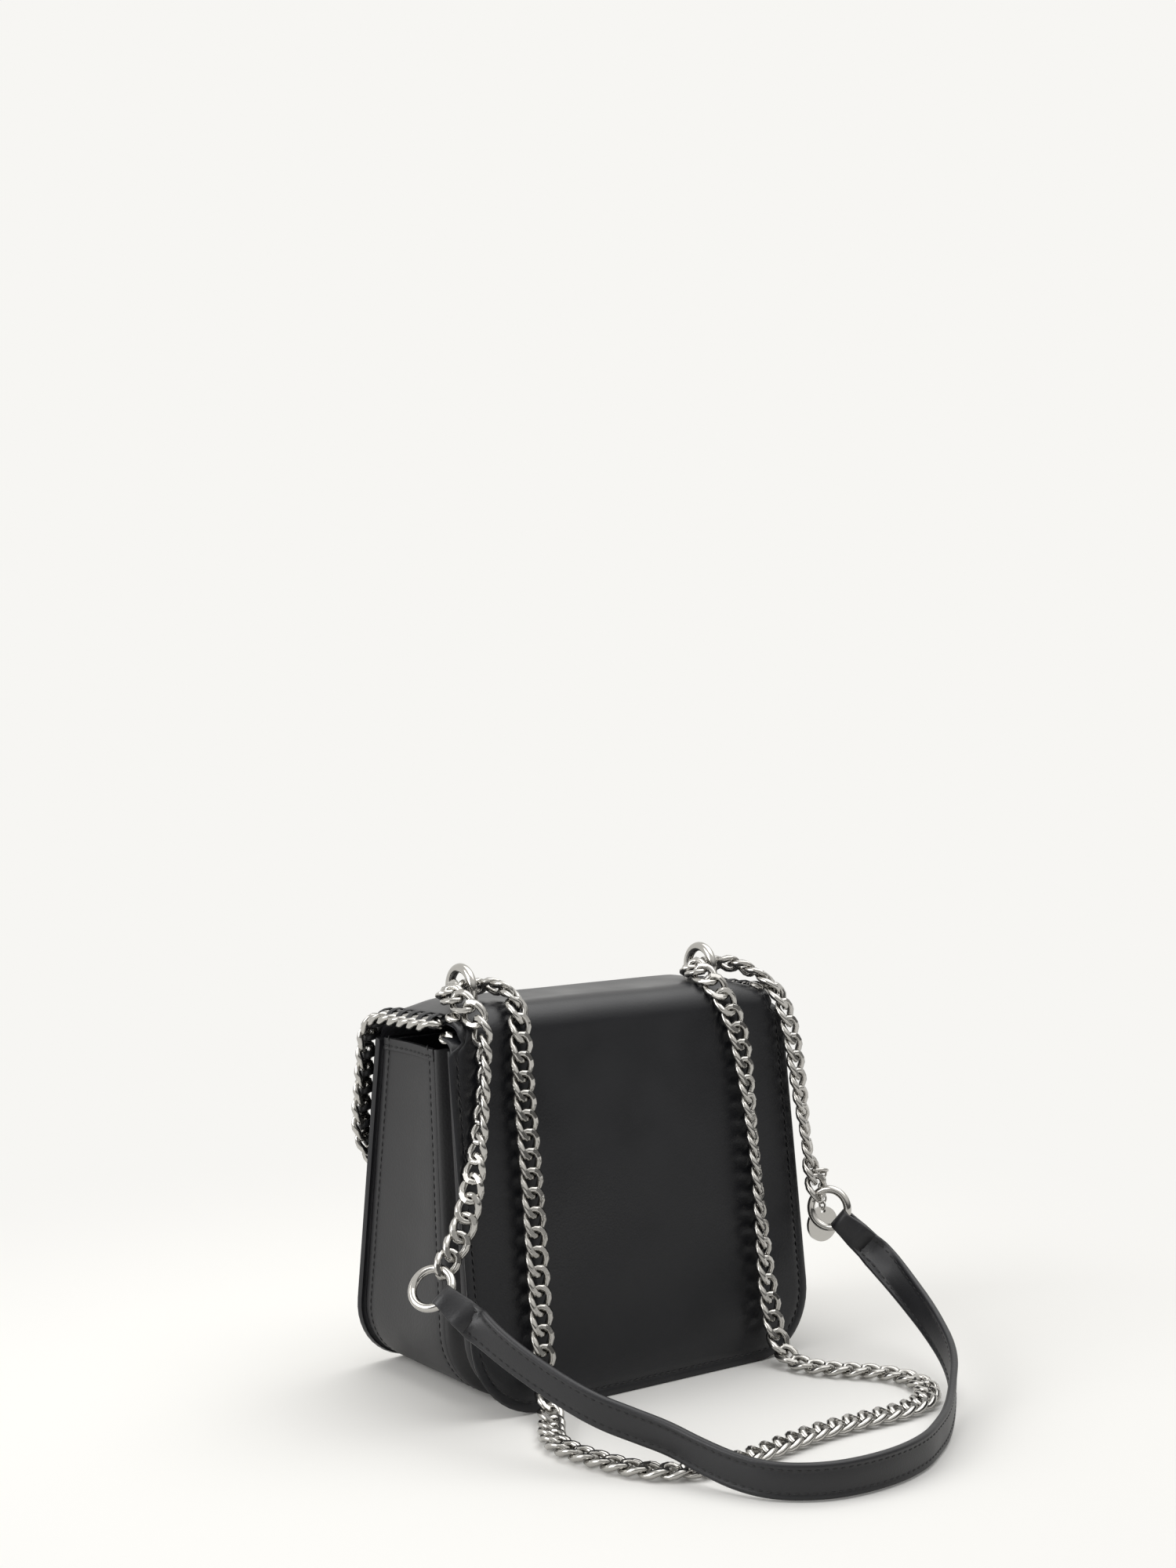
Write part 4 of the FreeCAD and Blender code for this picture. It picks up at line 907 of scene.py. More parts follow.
# Steps across and along the sheets
SHELL_GRID, FLAP_LINING_GRID, WALL_GRID, CLOTH_GRID = (48, 150), (24, 90), (40, 60), (24, 40)

# The flap's lining: its margin, its start past the fold, its gap to the leather and its thickness
LINING_MARGIN, LINING_START, LINING_GAP, LINING_CLOTH = 1, 4, 0.1, 0.8

# The back's seam: how far below the fold it ends, and a gap that shows its two ends
SEAM_END, SEAM_BREAK = 6, 20


def hide(x, s, lift):
    """Shell with the hide's own width: back panel, relief notch at the fold and narrower flap."""
    step = np.clip((s - NARROW_FROM) / NARROW_OVER, 0, 1)
    half = HALF_WIDTH + (FLAP_HALF - HALF_WIDTH) * step * step * (3 - 2 * step)
    at_fold = math.exp(-((s - SPLIT_AT) / NOTCH_LENGTH) ** 2)
    notch = NOTCH * at_fold * math.exp(-((PATTERN_HALF - abs(x)) / NOTCH) ** 2)
    return shell(x * half / PATTERN_HALF - math.copysign(notch, x), s, lift)


SHELL_LOOP = outline(PATTERN_HALF, CORNER, HEM_RADIUS, 0, SHELL_END, *SHELL_GRID)
SEAMS = []


def dress(obj, body, replaced=(), fold=False):
    """Ride or blend a finished piece and hide what it stands for."""
    if fold:
        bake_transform(obj)
    else:
        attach(obj, body)
    if replaced:
        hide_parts(*replaced)


class BAG_OT_shell(bpy.types.Operator):
    """Back panel and flap, cut from one hide and folded over the ridge"""
    bl_idname = "bag.shell"
    bl_label = "Shell"

    def execute(self, context):
        thickness = context.scene.bag_sizes.leather / MM
        skin = leather_sheet("shell_leather", *SHELL_LOOP, hide, thickness, "calf", flip=True)
        dress(skin, "bag", ("back_panel", "flap_leather"), fold=True)
        loop = outline(FLAP_HALF - LINING_MARGIN, 0, HEM_RADIUS - LINING_MARGIN,
                       SPLIT_AT + LINING_START, SHELL_END - LINING_MARGIN, *FLAP_LINING_GRID)

        def under_hide(x, s, lift):
            return shell(x, s, lift - thickness - LINING_GAP)

        under = leather_sheet("flap_lining_twill", *loop, under_hide, LINING_CLOTH, "lining",
                              seam=False, flip=True)
        dress(under, "flap", ("flap_lining",), fold=True)
        seam = zip(*seam_line(*SHELL_LOOP, hide))
        kept = [(point, look) for point, look in seam
                if point.z < FLAP_SPLIT - SEAM_END and point.y > 0]
        gaps = [index for index in range(1, len(kept))
                if (kept[index][0] - kept[index - 1][0]).length > SEAM_BREAK]
        start = gaps[0] if gaps else 0
        points, looks = zip(*kept[start:], *kept[:start])
        SEAMS.append((points, looks))
        return {"FINISHED"}


# Walls, gussets and linings


def wall(face, out, offset=0.0):
    """Surface of a leaning wall; out is -1 where it looks to the front."""
    normal = Vector((0, 1, face(0) - face(1))).normalized() * out

    def place(x, z, lift):
        return Vector((x, face(z), z)) + normal * (lift - offset)

    return place


DIVIDER_LEATHER = 1.6


class BAG_OT_walls(bpy.types.Operator):
    """Front wall and divider of the main compartment"""
    bl_idname = "bag.walls"
    bl_label = "Walls"

    def execute(self, context):
        thickness = context.scene.bag_sizes.leather / MM
        loop = outline(HALF_WIDTH, CORNER, 0, 0, MOUTH, *WALL_GRID)
        place = wall(front_y, -1)
        front = leather_sheet("front_wall", *loop, place, thickness, "calf")
        dress(front, "bag", ("front_panel",))
        SEAMS.append(seam_line(*loop, place))
        loop = outline(GUSSET_HALF, CORNER, 0, 0, MOUTH, *WALL_GRID)
        divider = leather_sheet("divider_wall", *loop, wall(divider_y, -1), DIVIDER_LEATHER,
                                "soft_calf")
        dress(divider, "bag", ("divider_panel",))
        return {"FINISHED"}


# Points along a strip's side, round its corner and along half its floor
SIDE_POINTS, TURN_POINTS, FLOOR_POINTS = 28, 12, 13


def trough_line(inset_by, heights):
    """Front view of a strip round the sides and bottom: its points and outward normals."""
    half, low, turn = GUSSET_HALF - inset_by, inset_by, CORNER - inset_by
    line = [(half, z) for z in (*heights, *np.linspace(heights[-1], low + turn, SIDE_POINTS)[1:])]
    for angle in np.linspace(0, math.pi / 2, TURN_POINTS)[1:]:
        line.append((half - turn + turn * math.cos(angle), low + turn - turn * math.sin(angle)))
    line += [(x, low) for x in np.linspace(half - turn, 0, FLOOR_POINTS)[1:]]
    line += [(-x, z) for x, z in reversed(line[:-1])]
    line = np.array(line)
    ahead = unit(np.gradient(line, axis=0))
    return line, np.stack([-ahead[:, 1], ahead[:, 0]], axis=1)


# The gusset's points: down from its mouth, and in from its edges
MOUTH_SEAM = 3.3
MOUTH_STEPS = (0, 0.7, 2.6, MOUTH_SEAM, 4.0, 4.9, 5.3, 8)
EDGE_STEPS = (0, 0.8, 2.6, 3.3, SEAM_INSET, 4.7, 6.5)
MIDDLE_POINTS = 12

# The gusset's gaps to the front wall and the divider, and its bow between them
GUSSET_NEAR, GUSSET_FAR = 2.4, 0.15
BOW, BOW_FROM, BOW_OVER = 1.5, 8, 40

# The band along the gusset's mouth, the pull of its seam, and the points that the seam leaves free
BAND_RISE, BAND_DEPTH, BAND_STEP = 0.55, 5.3, 0.4
BAND_PULL, BAND_SEAM_WIDTH = 0.3, 0.7
BAND_SEAM_END = 2

# Unevenness of the gusset: its size, its height and the distance from the edge where it is full
GUSSET_REACH, GUSSET_RIPPLE, GUSSET_FULL = 30, 0.35, 10

# The bellows: depth of the two folds and of the crease between them, gaps to its walls, thickness
FOLD_TUCK, CREASE_TUCK, CREASE_WIDTH = 7.0, 2.0, 0.1
BELLOWS_NEAR, BELLOWS_FAR, BELLOWS_LEATHER = 1.75, 2.4, 1.3
BELLOWS_POINTS = 25

# Rounding of a strip's cut edges
STRIP_EDGE = 0.4


def grid_sheet(name, rows, material, thickness, flip=False):
    """Sheet through rows of points."""
    width = len(rows[0])
    faces = []
    for i in range(len(rows) - 1):
        for j in range(width - 1):
            here, ahead = i * width + j, (i + 1) * width + j
            faces.append((here, ahead, ahead + 1, here + 1))
    if flip:
        faces = [tuple(reversed(face)) for face in faces]
    obj = piece(name, [point for row in rows for point in row], faces, material)
    return thicken(obj, thickness, STRIP_EDGE)


class BAG_OT_gusset(bpy.types.Operator):
    """Gusset of the main compartment with its bound and stitched mouth"""
    bl_idname = "bag.gusset"
    bl_label = "Gusset"

    def execute(self, context):
        thickness = context.scene.bag_sizes.leather / MM
        line, normals = trough_line(0, [MOUTH - step for step in MOUTH_STEPS])
        rows, looks = [], []
        for (x, z), (nx, nz) in zip(line, normals):
            near, far = front_y(z) + GUSSET_NEAR, divider_y(z) - GUSSET_FAR
            wide = far - near
            middle = np.linspace(EDGE_STEPS[-1], wide - EDGE_STEPS[-1], MIDDLE_POINTS)[1:-1]
            full_bow = BOW * min(1, max(0, z - BOW_FROM) / BOW_OVER)
            band = BAND_RISE * float(np.clip((z - MOUTH + BAND_DEPTH) / BAND_STEP, 0, 1))
            band -= BAND_PULL * math.exp(-((z - MOUTH + MOUTH_SEAM) / BAND_SEAM_WIDTH) ** 2)
            row = []
            for step in (*EDGE_STEPS, *middle, *(wide - step for step in reversed(EDGE_STEPS))):
                inside = min(step, wide - step)
                lift = groove(inside) + band - full_bow * math.sin(math.pi * step / wide) ** 2
                hide_lift = ripple((near + step, z, x), GUSSET_REACH, GUSSET_RIPPLE)
                lift += hide_lift * min(1, inside / GUSSET_FULL)
                row.append(Vector((x + nx * lift, near + step, z + nz * lift)))
            rows.append(row)
            looks.append(Vector((nx, 0, nz)))
        gusset = grid_sheet("gusset_leather", rows, "soft_calf", thickness)
        dress(gusset, "bag", ("main_gusset",))
        column, end = EDGE_STEPS.index(SEAM_INSET), MOUTH_STEPS.index(MOUTH_SEAM)
        for place in (column, -1 - column):
            SEAMS.append(([row[place] for row in rows], looks))
        for place in (end, -1 - end):
            across = rows[place][BAND_SEAM_END:-BAND_SEAM_END]
            SEAMS.append((across, [looks[place]] * len(across)))
        return {"FINISHED"}


class BAG_OT_bellows(bpy.types.Operator):
    """Pleated bellows of the rear pocket"""
    bl_idname = "bag.bellows"
    bl_label = "Bellows"

    def execute(self, context):
        columns = []
        for share in np.linspace(0, 1, BELLOWS_POINTS):
            tuck = FOLD_TUCK * math.sin(2 * math.pi * share) ** 2
            tuck += CREASE_TUCK * math.exp(-((share - 0.5) / CREASE_WIDTH) ** 2)
            line, _ = trough_line(tuck, (MOUTH,))
            column = []
            for x, z in line:
                near, far = divider_y(z) + BELLOWS_NEAR, back_y(z) - BELLOWS_FAR
                column.append(Vector((x, near + (far - near) * share, z)))
            columns.append(column)
        pleat = grid_sheet("bellows_leather", list(zip(*columns)), "soft_calf", BELLOWS_LEATHER)
        dress(pleat, "bag", ("rear_gusset",))
        return {"FINISHED"}


# The compartment's linings: inset and gaps of the strip, inset of the sheets, gaps to their walls
STRIP_INSET, STRIP_NEAR, STRIP_FAR, STRIP_POINTS = 2.3, 2.5, 0.2, 9
SHEET_INSET, FRONT_GAP, DIVIDER_GAP, SHEET_CLOTH = 3.2, 3.1, 0.9, 0.7
LINING_TOP = MOUTH - 0.5

# The pocket's lining: half its width, its corners, its lower and upper edge and its gap to the back
POCKET_HALF, POCKET_CORNER, POCKET_LOW, POCKET_HIGH, POCKET_GAP = 77.0, 21, 10.2, MOUTH + 3, 3.2


class BAG_OT_linings(bpy.types.Operator):
    """Twill linings of the compartment and the rear pocket"""
    bl_idname = "bag.linings"
    bl_label = "Linings"

    def execute(self, context):
        line, _ = trough_line(STRIP_INSET, (LINING_TOP,))
        rows = []
        for x, z in line:
            near, far = front_y(z) + STRIP_NEAR, divider_y(z) - STRIP_FAR
            shares = np.linspace(0, 1, STRIP_POINTS)
            rows.append([Vector((x, near + (far - near) * share, z)) for share in shares])
        strip = grid_sheet("strip_lining", rows, "lining", LINING_CLOTH)
        loop = outline(GUSSET_HALF - SHEET_INSET, CORNER - SHEET_INSET, 0,
                       SHEET_INSET, LINING_TOP, *CLOTH_GRID)
        front = leather_sheet("front_lining_sheet", *loop, wall(front_y, 1, -FRONT_GAP),
                              SHEET_CLOTH, "lining", seam=False, flip=True)
        rear = leather_sheet("divider_lining_sheet", *loop, wall(divider_y, -1, -DIVIDER_GAP),
                             SHEET_CLOTH, "lining", seam=False)
        cloth = joined("compartment_lining", [strip, front, rear])
        dress(cloth, "bag", ("gusset_lining", "front_lining", "divider_lining"))
        loop = outline(POCKET_HALF, POCKET_CORNER, 0, POCKET_LOW, POCKET_HIGH, *CLOTH_GRID)
        pocket = leather_sheet("pocket_lining", *loop, wall(back_y, -1, -POCKET_GAP),
                               SHEET_CLOTH, "lining", seam=False)
        dress(pocket, "bag", ("back_lining",))
        return {"FINISHED"}


# Chains


def ring_middle(name):
    """Middle of a ring of the frame in millimetres."""
    low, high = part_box(name)
    return np.array((low + high) / 2) / MM


# Steps of the chain's spline between control points, and how far its path passes the end links
CHAIN_STEPS = 16
LINK_END = 5


def chain_line():
    """Points and looks of the shoulder chain, lengths along it, and the places of its end links."""
    points = spline_points([np.array(point) * MM for point, _ in CHAIN_ROUTE], CHAIN_STEPS) / MM
    looks = spline_points([unit(look) for _, look in CHAIN_ROUTE], CHAIN_STEPS)
    along = lengths(points)
    clear = {ring: np.nonzero(np.linalg.norm(points - ring_middle(ring), axis=1) > reach)[0]
             for ring, reach in RING_REACH.items()}
    return points, looks, along, along[clear["left_ring"][0]], along[clear["right_ring"][-1]]


class BAG_OT_chain(bpy.types.Operator):
    """Shoulder chain from ring to ring, through both arches and over the floor"""
    bl_idname = "bag.chain"
    bl_label = "Shoulder chain"

    def execute(self, context):
        link = link_shape(context.scene.bag_sizes)
        points, looks, along, first, last = chain_line()
        count = round((last - first) / LINK_PITCH) + 1
        places = {"Count": count, "Start": first * MM, "End": last * MM}
        chain = along_lines("shoulder_chain", "links", [(points, looks)], link, "chain", places)
        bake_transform(chain)
        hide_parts("left_hanging_chain", "floor_chain", "right_hanging_chain")
        path = points[(along >= first - LINK_END) & (along <= last + LINK_END)] * MM
        tuple(path[0])
        return {"FINISHED"}


# The trim's line: its distance outside the edge, its depth, its start on the ridge and its points
TRIM_OUT = 5.8
TRIM_SINK = -2.3
TRIM_START = 19.0
TRIM_SIDE_POINTS, TRIM_TURN_POINTS = 90, 30

# Outward tilt of the trim's links, and the share of it that is lost on top of the bag
TRIM_TILT = math.radians(27)
TRIM_LEVEL = 0.6


def trim_line():
    """Points and looks of the trim, outside the flap's edge from end to end of the ridge."""
    start, side, turn = ridge_place(TRIM_START), FLAP_HALF + TRIM_OUT, HEM_RADIUS + TRIM_OUT
    foot = SHELL_END - HEM_RADIUS
    flat = [(side, s, 1.0, 0.0) for s in np.linspace(start, foot, TRIM_SIDE_POINTS)]
    for angle in np.linspace(0, math.pi / 2, TRIM_TURN_POINTS)[1:]:
        out = (math.cos(angle), math.sin(angle))
        flat.append((FLAP_HALF - HEM_RADIUS + turn * out[0], foot + turn * out[1], *out))
    flat += [(x, SHELL_END + TRIM_OUT, 0.0, 1.0)
             for x in np.linspace(FLAP_HALF - HEM_RADIUS, 0, TRIM_TURN_POINTS)[1:]]
    flat += [(-x, s, -across, down) for x, s, across, down in reversed(flat[:-1])]
    points, looks = [], []
    for x, s, across, down in flat:
        ny, nz = shell_normal(s)
        outward = Vector((across, 0, 0)) + Vector((0, -nz, ny)) * down
        points.append(shell(x, s, TRIM_SINK))
        tilt = TRIM_TILT * (1 - TRIM_LEVEL * max(0, nz))
        looks.append(Vector((0, ny, nz)) * math.cos(tilt) + outward * math.sin(tilt))
    return points, looks


class BAG_OT_trim(bpy.types.Operator):
    """Curb chain that edges the flap, and the lace that binds it on"""
    bl_idname = "bag.trim"
    bl_label = "Flap trim"

    def execute(self, context):
        sizes = context.scene.bag_sizes
        lines = [trim_line()]
        run = lengths(np.array(lines[0][0]))[-1]
        count = int(run / LINK_PITCH)
        spare = (run - (count - 1) * LINK_PITCH) / 2
        places = {"Count": count, "Start": spare * MM, "End": (run - spare) * MM}
        trim = along_lines("trim_links", "links", lines, link_shape(sizes), "chain", places)
        dress(trim, "flap", ("trim_chain",))
        lace = along_lines("trim_lace", "links", lines, lace_shape(sizes), "lace", places)
        dress(lace, "flap")
        return {"FINISHED"}


# Strap


# The strap: half its width at its ends, the part of its route over which it widens, the steps of
# its spline between control points, its section, and its seams
STRAP_START = 6.0
STRAP_TAPER = 1.2
STRAP_STEPS = 10
STRAP_SECTION = [
    (-1, 0), (-0.97, 0.62), (-0.87, 1), (-0.74, 0.94), (-0.62, 0.7), (-0.48, 0.84), (0, 0.9),
    (0.48, 0.84), (0.62, 0.7), (0.74, 0.94), (0.87, 1), (0.97, 0.62),
]
STRAP_SEAMS = [(-0.62, 1), (0.62, 1), (-0.62, -1), (0.62, -1)]
STRAP_SEAM_HEIGHT = 0.62

# A folded end: half its width at the ring, its bend, half a ply, its lap under the strap, how far
# it is wider than the strap, the curve by which its plies meet, its points and its section
FOLD_HALF = 4.75
FOLD_BEND, FOLD_PLY, FOLD_LAP = 2.85, 0.75, 5
FOLD_OVER, FOLD_EASE = 0.3, 1.5
FOLD_POINTS, BEND_POINTS = 7, 13
FOLD_SECTION = [(-1, -0.5), (-0.9, -1), (0, -1), (0.9, -1), (1, -0.5),
                (1, 0.5), (0.9, 1), (0, 1), (-0.9, 1), (-1, 0.5)]


def strap_end(ring, aim):
    """Bar of a ring that a strap end is folded round, facing the aim: its middle and its way."""
    middle = ring_middle(ring)
    corners = [vertex.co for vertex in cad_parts[ring].data.vertices]
    flat = np.array(corners, float) / MM - middle
    through = np.linalg.svd(flat, full_matrices=False)[2][2]
    away = aim - middle
    away = unit(away - through * (away @ through))
    return middle + away * RING_RADIUS, unit(np.cross(through, away))


def strap_fold(eye, way, across):
    """Strap end folded round a ring's bar and back on itself."""
    normal = np.cross(across, way)
    ply = [(LOOP_LENGTH * share, FOLD_PLY + (FOLD_BEND - FOLD_PLY) * (1 - share) ** FOLD_EASE)
           for share in np.linspace(0, 1, FOLD_POINTS)]
    ply[-1] = (LOOP_LENGTH + FOLD_LAP, FOLD_PLY)
    line = ply[::-1]
    for angle in np.linspace(math.pi / 2, 3 * math.pi / 2, BEND_POINTS)[1:]:
        line.append((FOLD_BEND * math.cos(angle), FOLD_BEND * math.sin(angle)))
    line += [(along, -up) for along, up in ply[1:]]
    rows = []
    for (along, up), (da, du) in zip(line, unit(np.gradient(np.array(line), axis=0))):
        centre = eye + way * along + normal * up
        out = way * -du + normal * da
        share = min(1, max(0, along) / LOOP_LENGTH)
        wide = FOLD_HALF + (STRAP_START + FOLD_OVER - FOLD_HALF) * share
        rows.append([Vector(centre + across * (wide * a) + out * (FOLD_PLY * b))
                     for a, b in FOLD_SECTION])
    return tube_shape("strap_fold", rows, False, "strap_calf")


class BAG_OT_strap(bpy.types.Operator):
    """Stitched shoulder strap with an end folded round each ring"""
    bl_idname = "bag.strap"
    bl_label = "Shoulder strap"

    def execute(self, context):
        sizes = context.scene.bag_sizes
        ends = []
        for ring, (aim, width) in (("left_ring", STRAP_ROUTE[0]), ("right_ring", STRAP_ROUTE[-1])):
            eye, across = strap_end(ring, np.array(aim))
            if across @ np.array(width) < 0:
                across = -across
            way = np.array(aim) - eye
            way = unit(way - across * (way @ across))
            ends.append((eye, way, across))
        (eye, way, across), (last_eye, last_way, last_across) = ends
        first, last = eye + way * LOOP_LENGTH, last_eye + last_way * LOOP_LENGTH
        lead = LOOP_LENGTH / 2
        controls = [first, first + way * lead, *(np.array(p, float) for p, _ in STRAP_ROUTE),
                    last + last_way * lead, last]
        widths = [across, across, *(unit(w) for _, w in STRAP_ROUTE), last_across, last_across]
        points = spline_points([point * MM for point in controls], STRAP_STEPS) / MM
        ways = spline_points(widths, STRAP_STEPS)
        ahead = unit(np.gradient(points, axis=0))
        knots = len(controls) - 2
        full, thick = sizes.strap_width / MM / 2, sizes.strap_thickness / MM / 2
        rows, seams = [], [([], []) for _ in STRAP_SEAMS]
        for index, (point, width, tangent) in enumerate(zip(points, ways, ahead)):
            place = knots * index / (len(points) - 1)
            share = min(1, min(place, knots - place) / STRAP_TAPER)
            half = STRAP_START + (full - STRAP_START) * share
            wide = unit(width - tangent * (width @ tangent))
            flat = np.cross(tangent, wide)
            lower = [(a, -b) for a, b in [(1, 0), *STRAP_SECTION[:0:-1]]]
            rows.append([Vector(point + wide * (half * a) + flat * (thick * b))
                         for a, b in STRAP_SECTION + lower])
            for (line, looks), (a, b) in zip(seams, STRAP_SEAMS):
                line.append(point + wide * (half * a) + flat * (thick * STRAP_SEAM_HEIGHT * b))
                looks.append(flat * b)
        strap = tube_shape("shoulder_strap_leather", rows, False, "strap_calf")
        fold = joined("strap_folds", [strap_fold(*end) for end in ends])
        dress(strap, "bag", ("shoulder_strap",))
        dress(fold, "bag", ("left_strap_loop", "right_strap_loop"))
        threads = along_lines("strap_stitches", "seam", seams, stitch_shape(), "thread",
                              {"Spacing": sizes.stitch_pitch})
        dress(threads, "bag")
        return {"FINISHED"}


# Metalwork, tabs and stitching


# Finishes of the frame's own pieces that stay in view
NODE_FINISHES = {
    "polished": ("left_arch", "right_arch", "left_ring", "right_ring",
                 "charm_jump_ring", "charm_rings", "charm_disc"),
    "satin": ("left_arch_plate", "right_arch_plate", "arch_nuts", "snap_socket", "snap_stud"),
    "lining": ("base_board",),
}

# Section of a rivet head in shares of its radius and height, and its sides
DOME_SECTION = [(0.9, -0.6), (1.0, 0.0), (1.0, 0.55), (0.94, 0.86),
                (0.8, 1.0), (0.4, 1.03), (0.04, 1.04)]
DOME_SIDES = 24

# The trim's rivets: their place on the ridge, their outward tilt, radius and height
RIVET_DEPTH = 19.8
RIVET_ACROSS = 81.8
RIVET_TILT = 0.22
RIVET_RADIUS, RIVET_HEIGHT = 3.3, 1.2


def dome(name, middle, out, radius, height):
    """Polished rivet head with a rolled edge."""
    out = Vector(out).normalized()
    side = out.orthogonal().normalized()
    up = out.cross(side)
    rows = []
    for reach, level in DOME_SECTION:
        centre = Vector(middle) + out * (height * level)
        rows.append([centre + (side * math.cos(turn) + up * math.sin(turn)) * (radius * reach)
                     for turn in around(DOME_SIDES)])
    return tube_shape(name, rows, False, "polished")


class BAG_OT_metalwork(bpy.types.Operator):
    """Finishes of the frame's metal pieces, and the rivets at the ends of the trim"""
    bl_idname = "bag.metalwork"
    bl_label = "Metalwork"

    def execute(self, context):
        for material, names in NODE_FINISHES.items():
            for name in names:
                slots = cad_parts[name].data.materials
                slots.clear()
                slots.append(MATERIALS[material])
        heads = []
        place = ridge_place(RIVET_DEPTH)
        for side in (1, -1):
            out = (side * RIVET_TILT, *shell_normal(place))
            middle = shell(side * RIVET_ACROSS, place)
            heads.append(dome("rivet", middle, out, RIVET_RADIUS, RIVET_HEIGHT))
        rivets = joined("trim_rivet_heads", heads)
        dress(rivets, "flap", ("trim_rivets",))
        return {"FINISHED"}


# A corner tab: its side view, its place across, half its width, its round end and its thickness
TAB_LINE = [(28.2, 144), (27.6, 148.5), (26.2, 151.4), (22.6, 152.8), (18.6, 153), (15.6, 152.6)]
TAB_STEPS = 6
TAB_ACROSS, TAB_HALF, TAB_ROUND, TAB_LEATHER = 83.6, 4.4, 0.6, 1.4
TAB_POINTS, TAB_TIP = 9, 0.05

# A tab's stud: its place, the way it looks, its radius and height
STUD_PLACE, STUD_WAY = (85.4, 20.4, 153.6), (0.46, 0.48, 0.75)
STUD_RADIUS, STUD_HEIGHT = 3.2, 1.0


class BAG_OT_tabs(bpy.types.Operator):
    """Leather tabs over the pocket's top corners, each with a polished stud"""
    bl_idname = "bag.tabs"
    bl_label = "Corner tabs"

    def execute(self, context):
        line = spline_points([(0, y * MM, z * MM) for y, z in TAB_LINE], TAB_STEPS) / MM
        sheets, studs = [], []
        for side in (1, -1):
            rows = []
            for index, (_, y, z) in enumerate(line):
                rounded = max(0, (index / (len(line) - 1) - TAB_ROUND) / (1 - TAB_ROUND))
                half = TAB_HALF * math.sqrt(max(TAB_TIP, 1 - rounded ** 2))
                rows.append([Vector((side * (TAB_ACROSS + half * across), y, z))
                             for across in np.linspace(-1, 1, TAB_POINTS)])
            sheets.append(grid_sheet("tab", rows, "calf", TAB_LEATHER, flip=side > 0))
            place, way = ((side * x, y, z) for x, y, z in (STUD_PLACE, STUD_WAY))
            studs.append(dome("stud", place, way, STUD_RADIUS, STUD_HEIGHT))
        dress(joined("corner_tabs", sheets), "bag")
        dress(joined("corner_studs", studs), "bag")
        return {"FINISHED"}


class BAG_OT_stitching(bpy.types.Operator):
    """Seams of the back panel, front wall and gusset"""
    bl_idname = "bag.stitching"
    bl_label = "Stitching"

    def execute(self, context):
        threads = along_lines("bag_stitches", "seam", SEAMS, stitch_shape(), "thread",
                              {"Spacing": context.scene.bag_sizes.stitch_pitch})
        dress(threads, "bag")
        return {"FINISHED"}


# Stage


# The camera, in metres
CAMERA_PLACE = (0.5817, 0.8049, 0.3041)
CAMERA_YAW = math.radians(35.924)
CAMERA_PITCH = math.radians(2.813)
CAMERA_LENS = 51.907
SENSOR_HEIGHT = 36

# The floor in millimetres: half its side, and how far it lies below the bag
FLOOR_HALF = 6000
FLOOR_DROP = 0.2

# Softboxes with their places, widths and watts, and the place that they look at
LAMPS = [
    ("overhead_softbox", (-0.35, 0.15, 1.7), 1.9, 20),
    ("side_softbox", (1.6, -0.2, 0.8), 1.2, 16),
]
LAMP_AIM = (0, 0, 0.1)


def paper(colour):
    """Matt paper sweep: it takes the bag's shadow, and fades to plain backdrop further out."""
    material = bpy.data.materials.new("paper_floor")
    material.use_nodes = True
    tree = material.node_tree
    tree.nodes.clear()
    place = add(tree, "ShaderNodeTexCoord").outputs["Object"]
    away = add(tree, "ShaderNodeVectorMath", {"operation": "LENGTH"}, {0: place})
    fade = add(tree, "ShaderNodeMapRange",
               {"interpolation_type": "SMOOTHSTEP", "From Min": 0.1, "From Max": 0.5},
               {"Value": away.outputs["Value"]})
    matt = add(tree, "ShaderNodeBsdfDiffuse", {"Color": colour})
    glow = add(tree, "ShaderNodeEmission", {"Color": colour})
    mix = add(tree, "ShaderNodeMixShader", links={
        0: fade.outputs["Result"], 1: matt.outputs["BSDF"], 2: glow.outputs["Emission"]})
    add(tree, "ShaderNodeOutputMaterial", links={"Surface": mix.outputs["Shader"]})
    return material


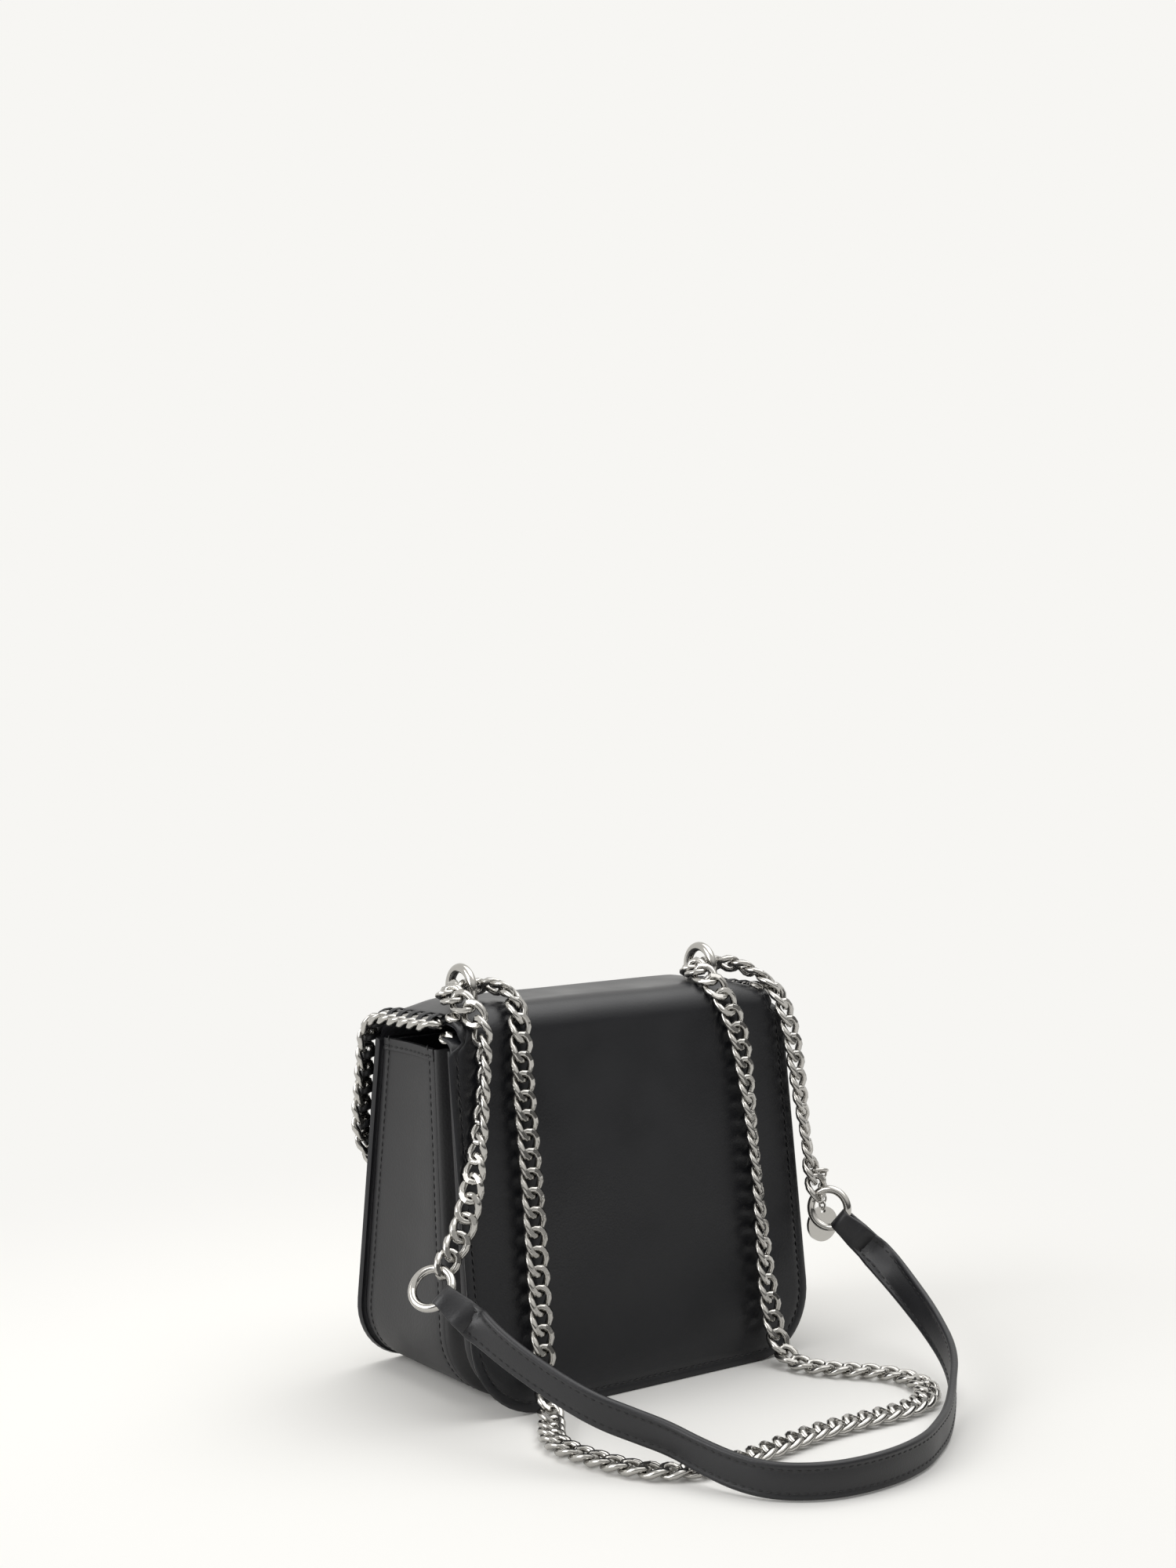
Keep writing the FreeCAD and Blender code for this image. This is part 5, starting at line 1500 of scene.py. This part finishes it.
def studio(colour):
    """Studio: plain to the camera; metal mirrors a pale wall and ceiling, and a dark near side."""
    world = bpy.data.worlds.new("studio")
    world.use_nodes = True
    tree = world.node_tree
    tree.nodes.clear()
    rays = add(tree, "ShaderNodeLightPath").outputs
    way = add(tree, "ShaderNodeTexCoord").outputs["Generated"]
    parts = add(tree, "ShaderNodeSeparateXYZ", links={0: way}).outputs
    behind, above = (
        add(tree, "ShaderNodeMapRange",
            {"interpolation_type": "SMOOTHSTEP", "From Min": low, "From Max": high},
            {"Value": parts[axis]}).outputs["Result"]
        for axis, low, high in (("Y", 0.45, -0.35), ("Z", 0.1, 0.55)))
    room = add(tree, "ShaderNodeMapRange", {"To Min": 0.05, "To Max": 0.85}, {"Value": behind})
    pale = add(tree, "ShaderNodeMath", {"operation": "MAXIMUM"}, {0: behind, 1: above})
    mirror = add(tree, "ShaderNodeMapRange", {"To Min": 0.05}, {"Value": pale.outputs["Value"]})
    mirrored = add(tree, "ShaderNodeMath", {"operation": "MULTIPLY_ADD"}, {
        0: rays["Is Glossy Ray"], 1: mirror.outputs["Result"], 2: rays["Is Transmission Ray"]})
    shown = add(tree, "ShaderNodeMath", {"operation": "ADD", "use_clamp": True},
                {0: rays["Is Camera Ray"], 1: mirrored.outputs["Value"]})
    seen = add(tree, "ShaderNodeMix", {"data_type": "FLOAT", "B": 1.0},
               {"Factor": shown.outputs["Value"], "A": room.outputs["Result"]})
    sky = add(tree, "ShaderNodeBackground", {"Color": colour}, {"Strength": seen.outputs["Result"]})
    add(tree, "ShaderNodeOutputWorld", links={"Surface": sky.outputs["Background"]})
    return world


def stand(name, data, place, way):
    """Lamp or camera at a place, looking a way."""
    holder = show(name, data)
    holder.location = place
    holder.rotation_euler = way.to_track_quat("-Z", "Y").to_euler()
    return holder


class BAG_OT_stage(bpy.types.Operator):
    """Pale floor, soft studio light and the camera"""
    bl_idname = "bag.stage"
    bl_label = "Stage"

    def execute(self, context):
        scene = context.scene
        scene.view_settings.view_transform = "Standard"
        colour = linear(scene.bag_colours.backdrop)
        corners = [(x * FLOOR_HALF, y * FLOOR_HALF, -FLOOR_DROP)
                   for x, y in ((-1, -1), (1, -1), (1, 1), (-1, 1))]
        floor = piece("floor", corners, [(0, 1, 2, 3)])
        floor.data.materials.append(paper(colour))
        scene.world = studio(colour)
        for name, place, width, power in LAMPS:
            lamp = bpy.data.lights.new(name, "AREA")
            lamp.size = width
            lamp.energy = power
            stand(name, lamp, place, Vector(LAMP_AIM) - Vector(place))
        camera = bpy.data.cameras.new("photo_camera")
        camera.sensor_fit = "VERTICAL"
        camera.sensor_height = SENSOR_HEIGHT
        camera.lens = CAMERA_LENS
        level = math.cos(CAMERA_PITCH)
        ahead = Vector((-math.sin(CAMERA_YAW) * level, -math.cos(CAMERA_YAW) * level,
                        -math.sin(CAMERA_PITCH)))
        scene.camera = stand("photo_camera", camera, CAMERA_PLACE, ahead)
        return {"FINISHED"}


class BAG_PT_sidebar(bpy.types.Panel):
    """Pieces of the bag in the order that they are made"""
    bl_idname = "BAG_PT_sidebar"
    bl_label = "Chain shoulder bag"
    bl_space_type = "VIEW_3D"
    bl_region_type = "UI"
    bl_category = "Bag"

    def draw(self, context):
        for group in (context.scene.bag_sizes, context.scene.bag_colours):
            for name in group.__annotations__:
                self.layout.prop(group, name)
        for item in OPERATORS:
            self.layout.operator(item.bl_idname)


OPERATORS = [
    BAG_OT_shell, BAG_OT_walls, BAG_OT_gusset, BAG_OT_bellows, BAG_OT_linings, BAG_OT_chain,
    BAG_OT_trim, BAG_OT_strap, BAG_OT_metalwork, BAG_OT_tabs, BAG_OT_stitching, BAG_OT_stage,
]
CLASSES = [BagSizes, BagColours, *OPERATORS, BAG_PT_sidebar]


def register():
    for item in CLASSES:
        bpy.utils.register_class(item)
    bpy.types.Scene.bag_sizes = bpy.props.PointerProperty(type=BagSizes)
    bpy.types.Scene.bag_colours = bpy.props.PointerProperty(type=BagColours)


def unregister():
    del bpy.types.Scene.bag_colours
    del bpy.types.Scene.bag_sizes
    for item in reversed(CLASSES):
        bpy.utils.unregister_class(item)


def main():
    register()
    make_materials(bpy.context.scene.bag_colours)
    TREES["links"] = line_tree("pieces_between_two_places", False)
    TREES["seam"] = line_tree("stitches_along_seams", True)
    for item in OPERATORS:
        group, name = item.bl_idname.split(".")
        getattr(getattr(bpy.ops, group), name)()


if __name__ == "__main__":
    main()
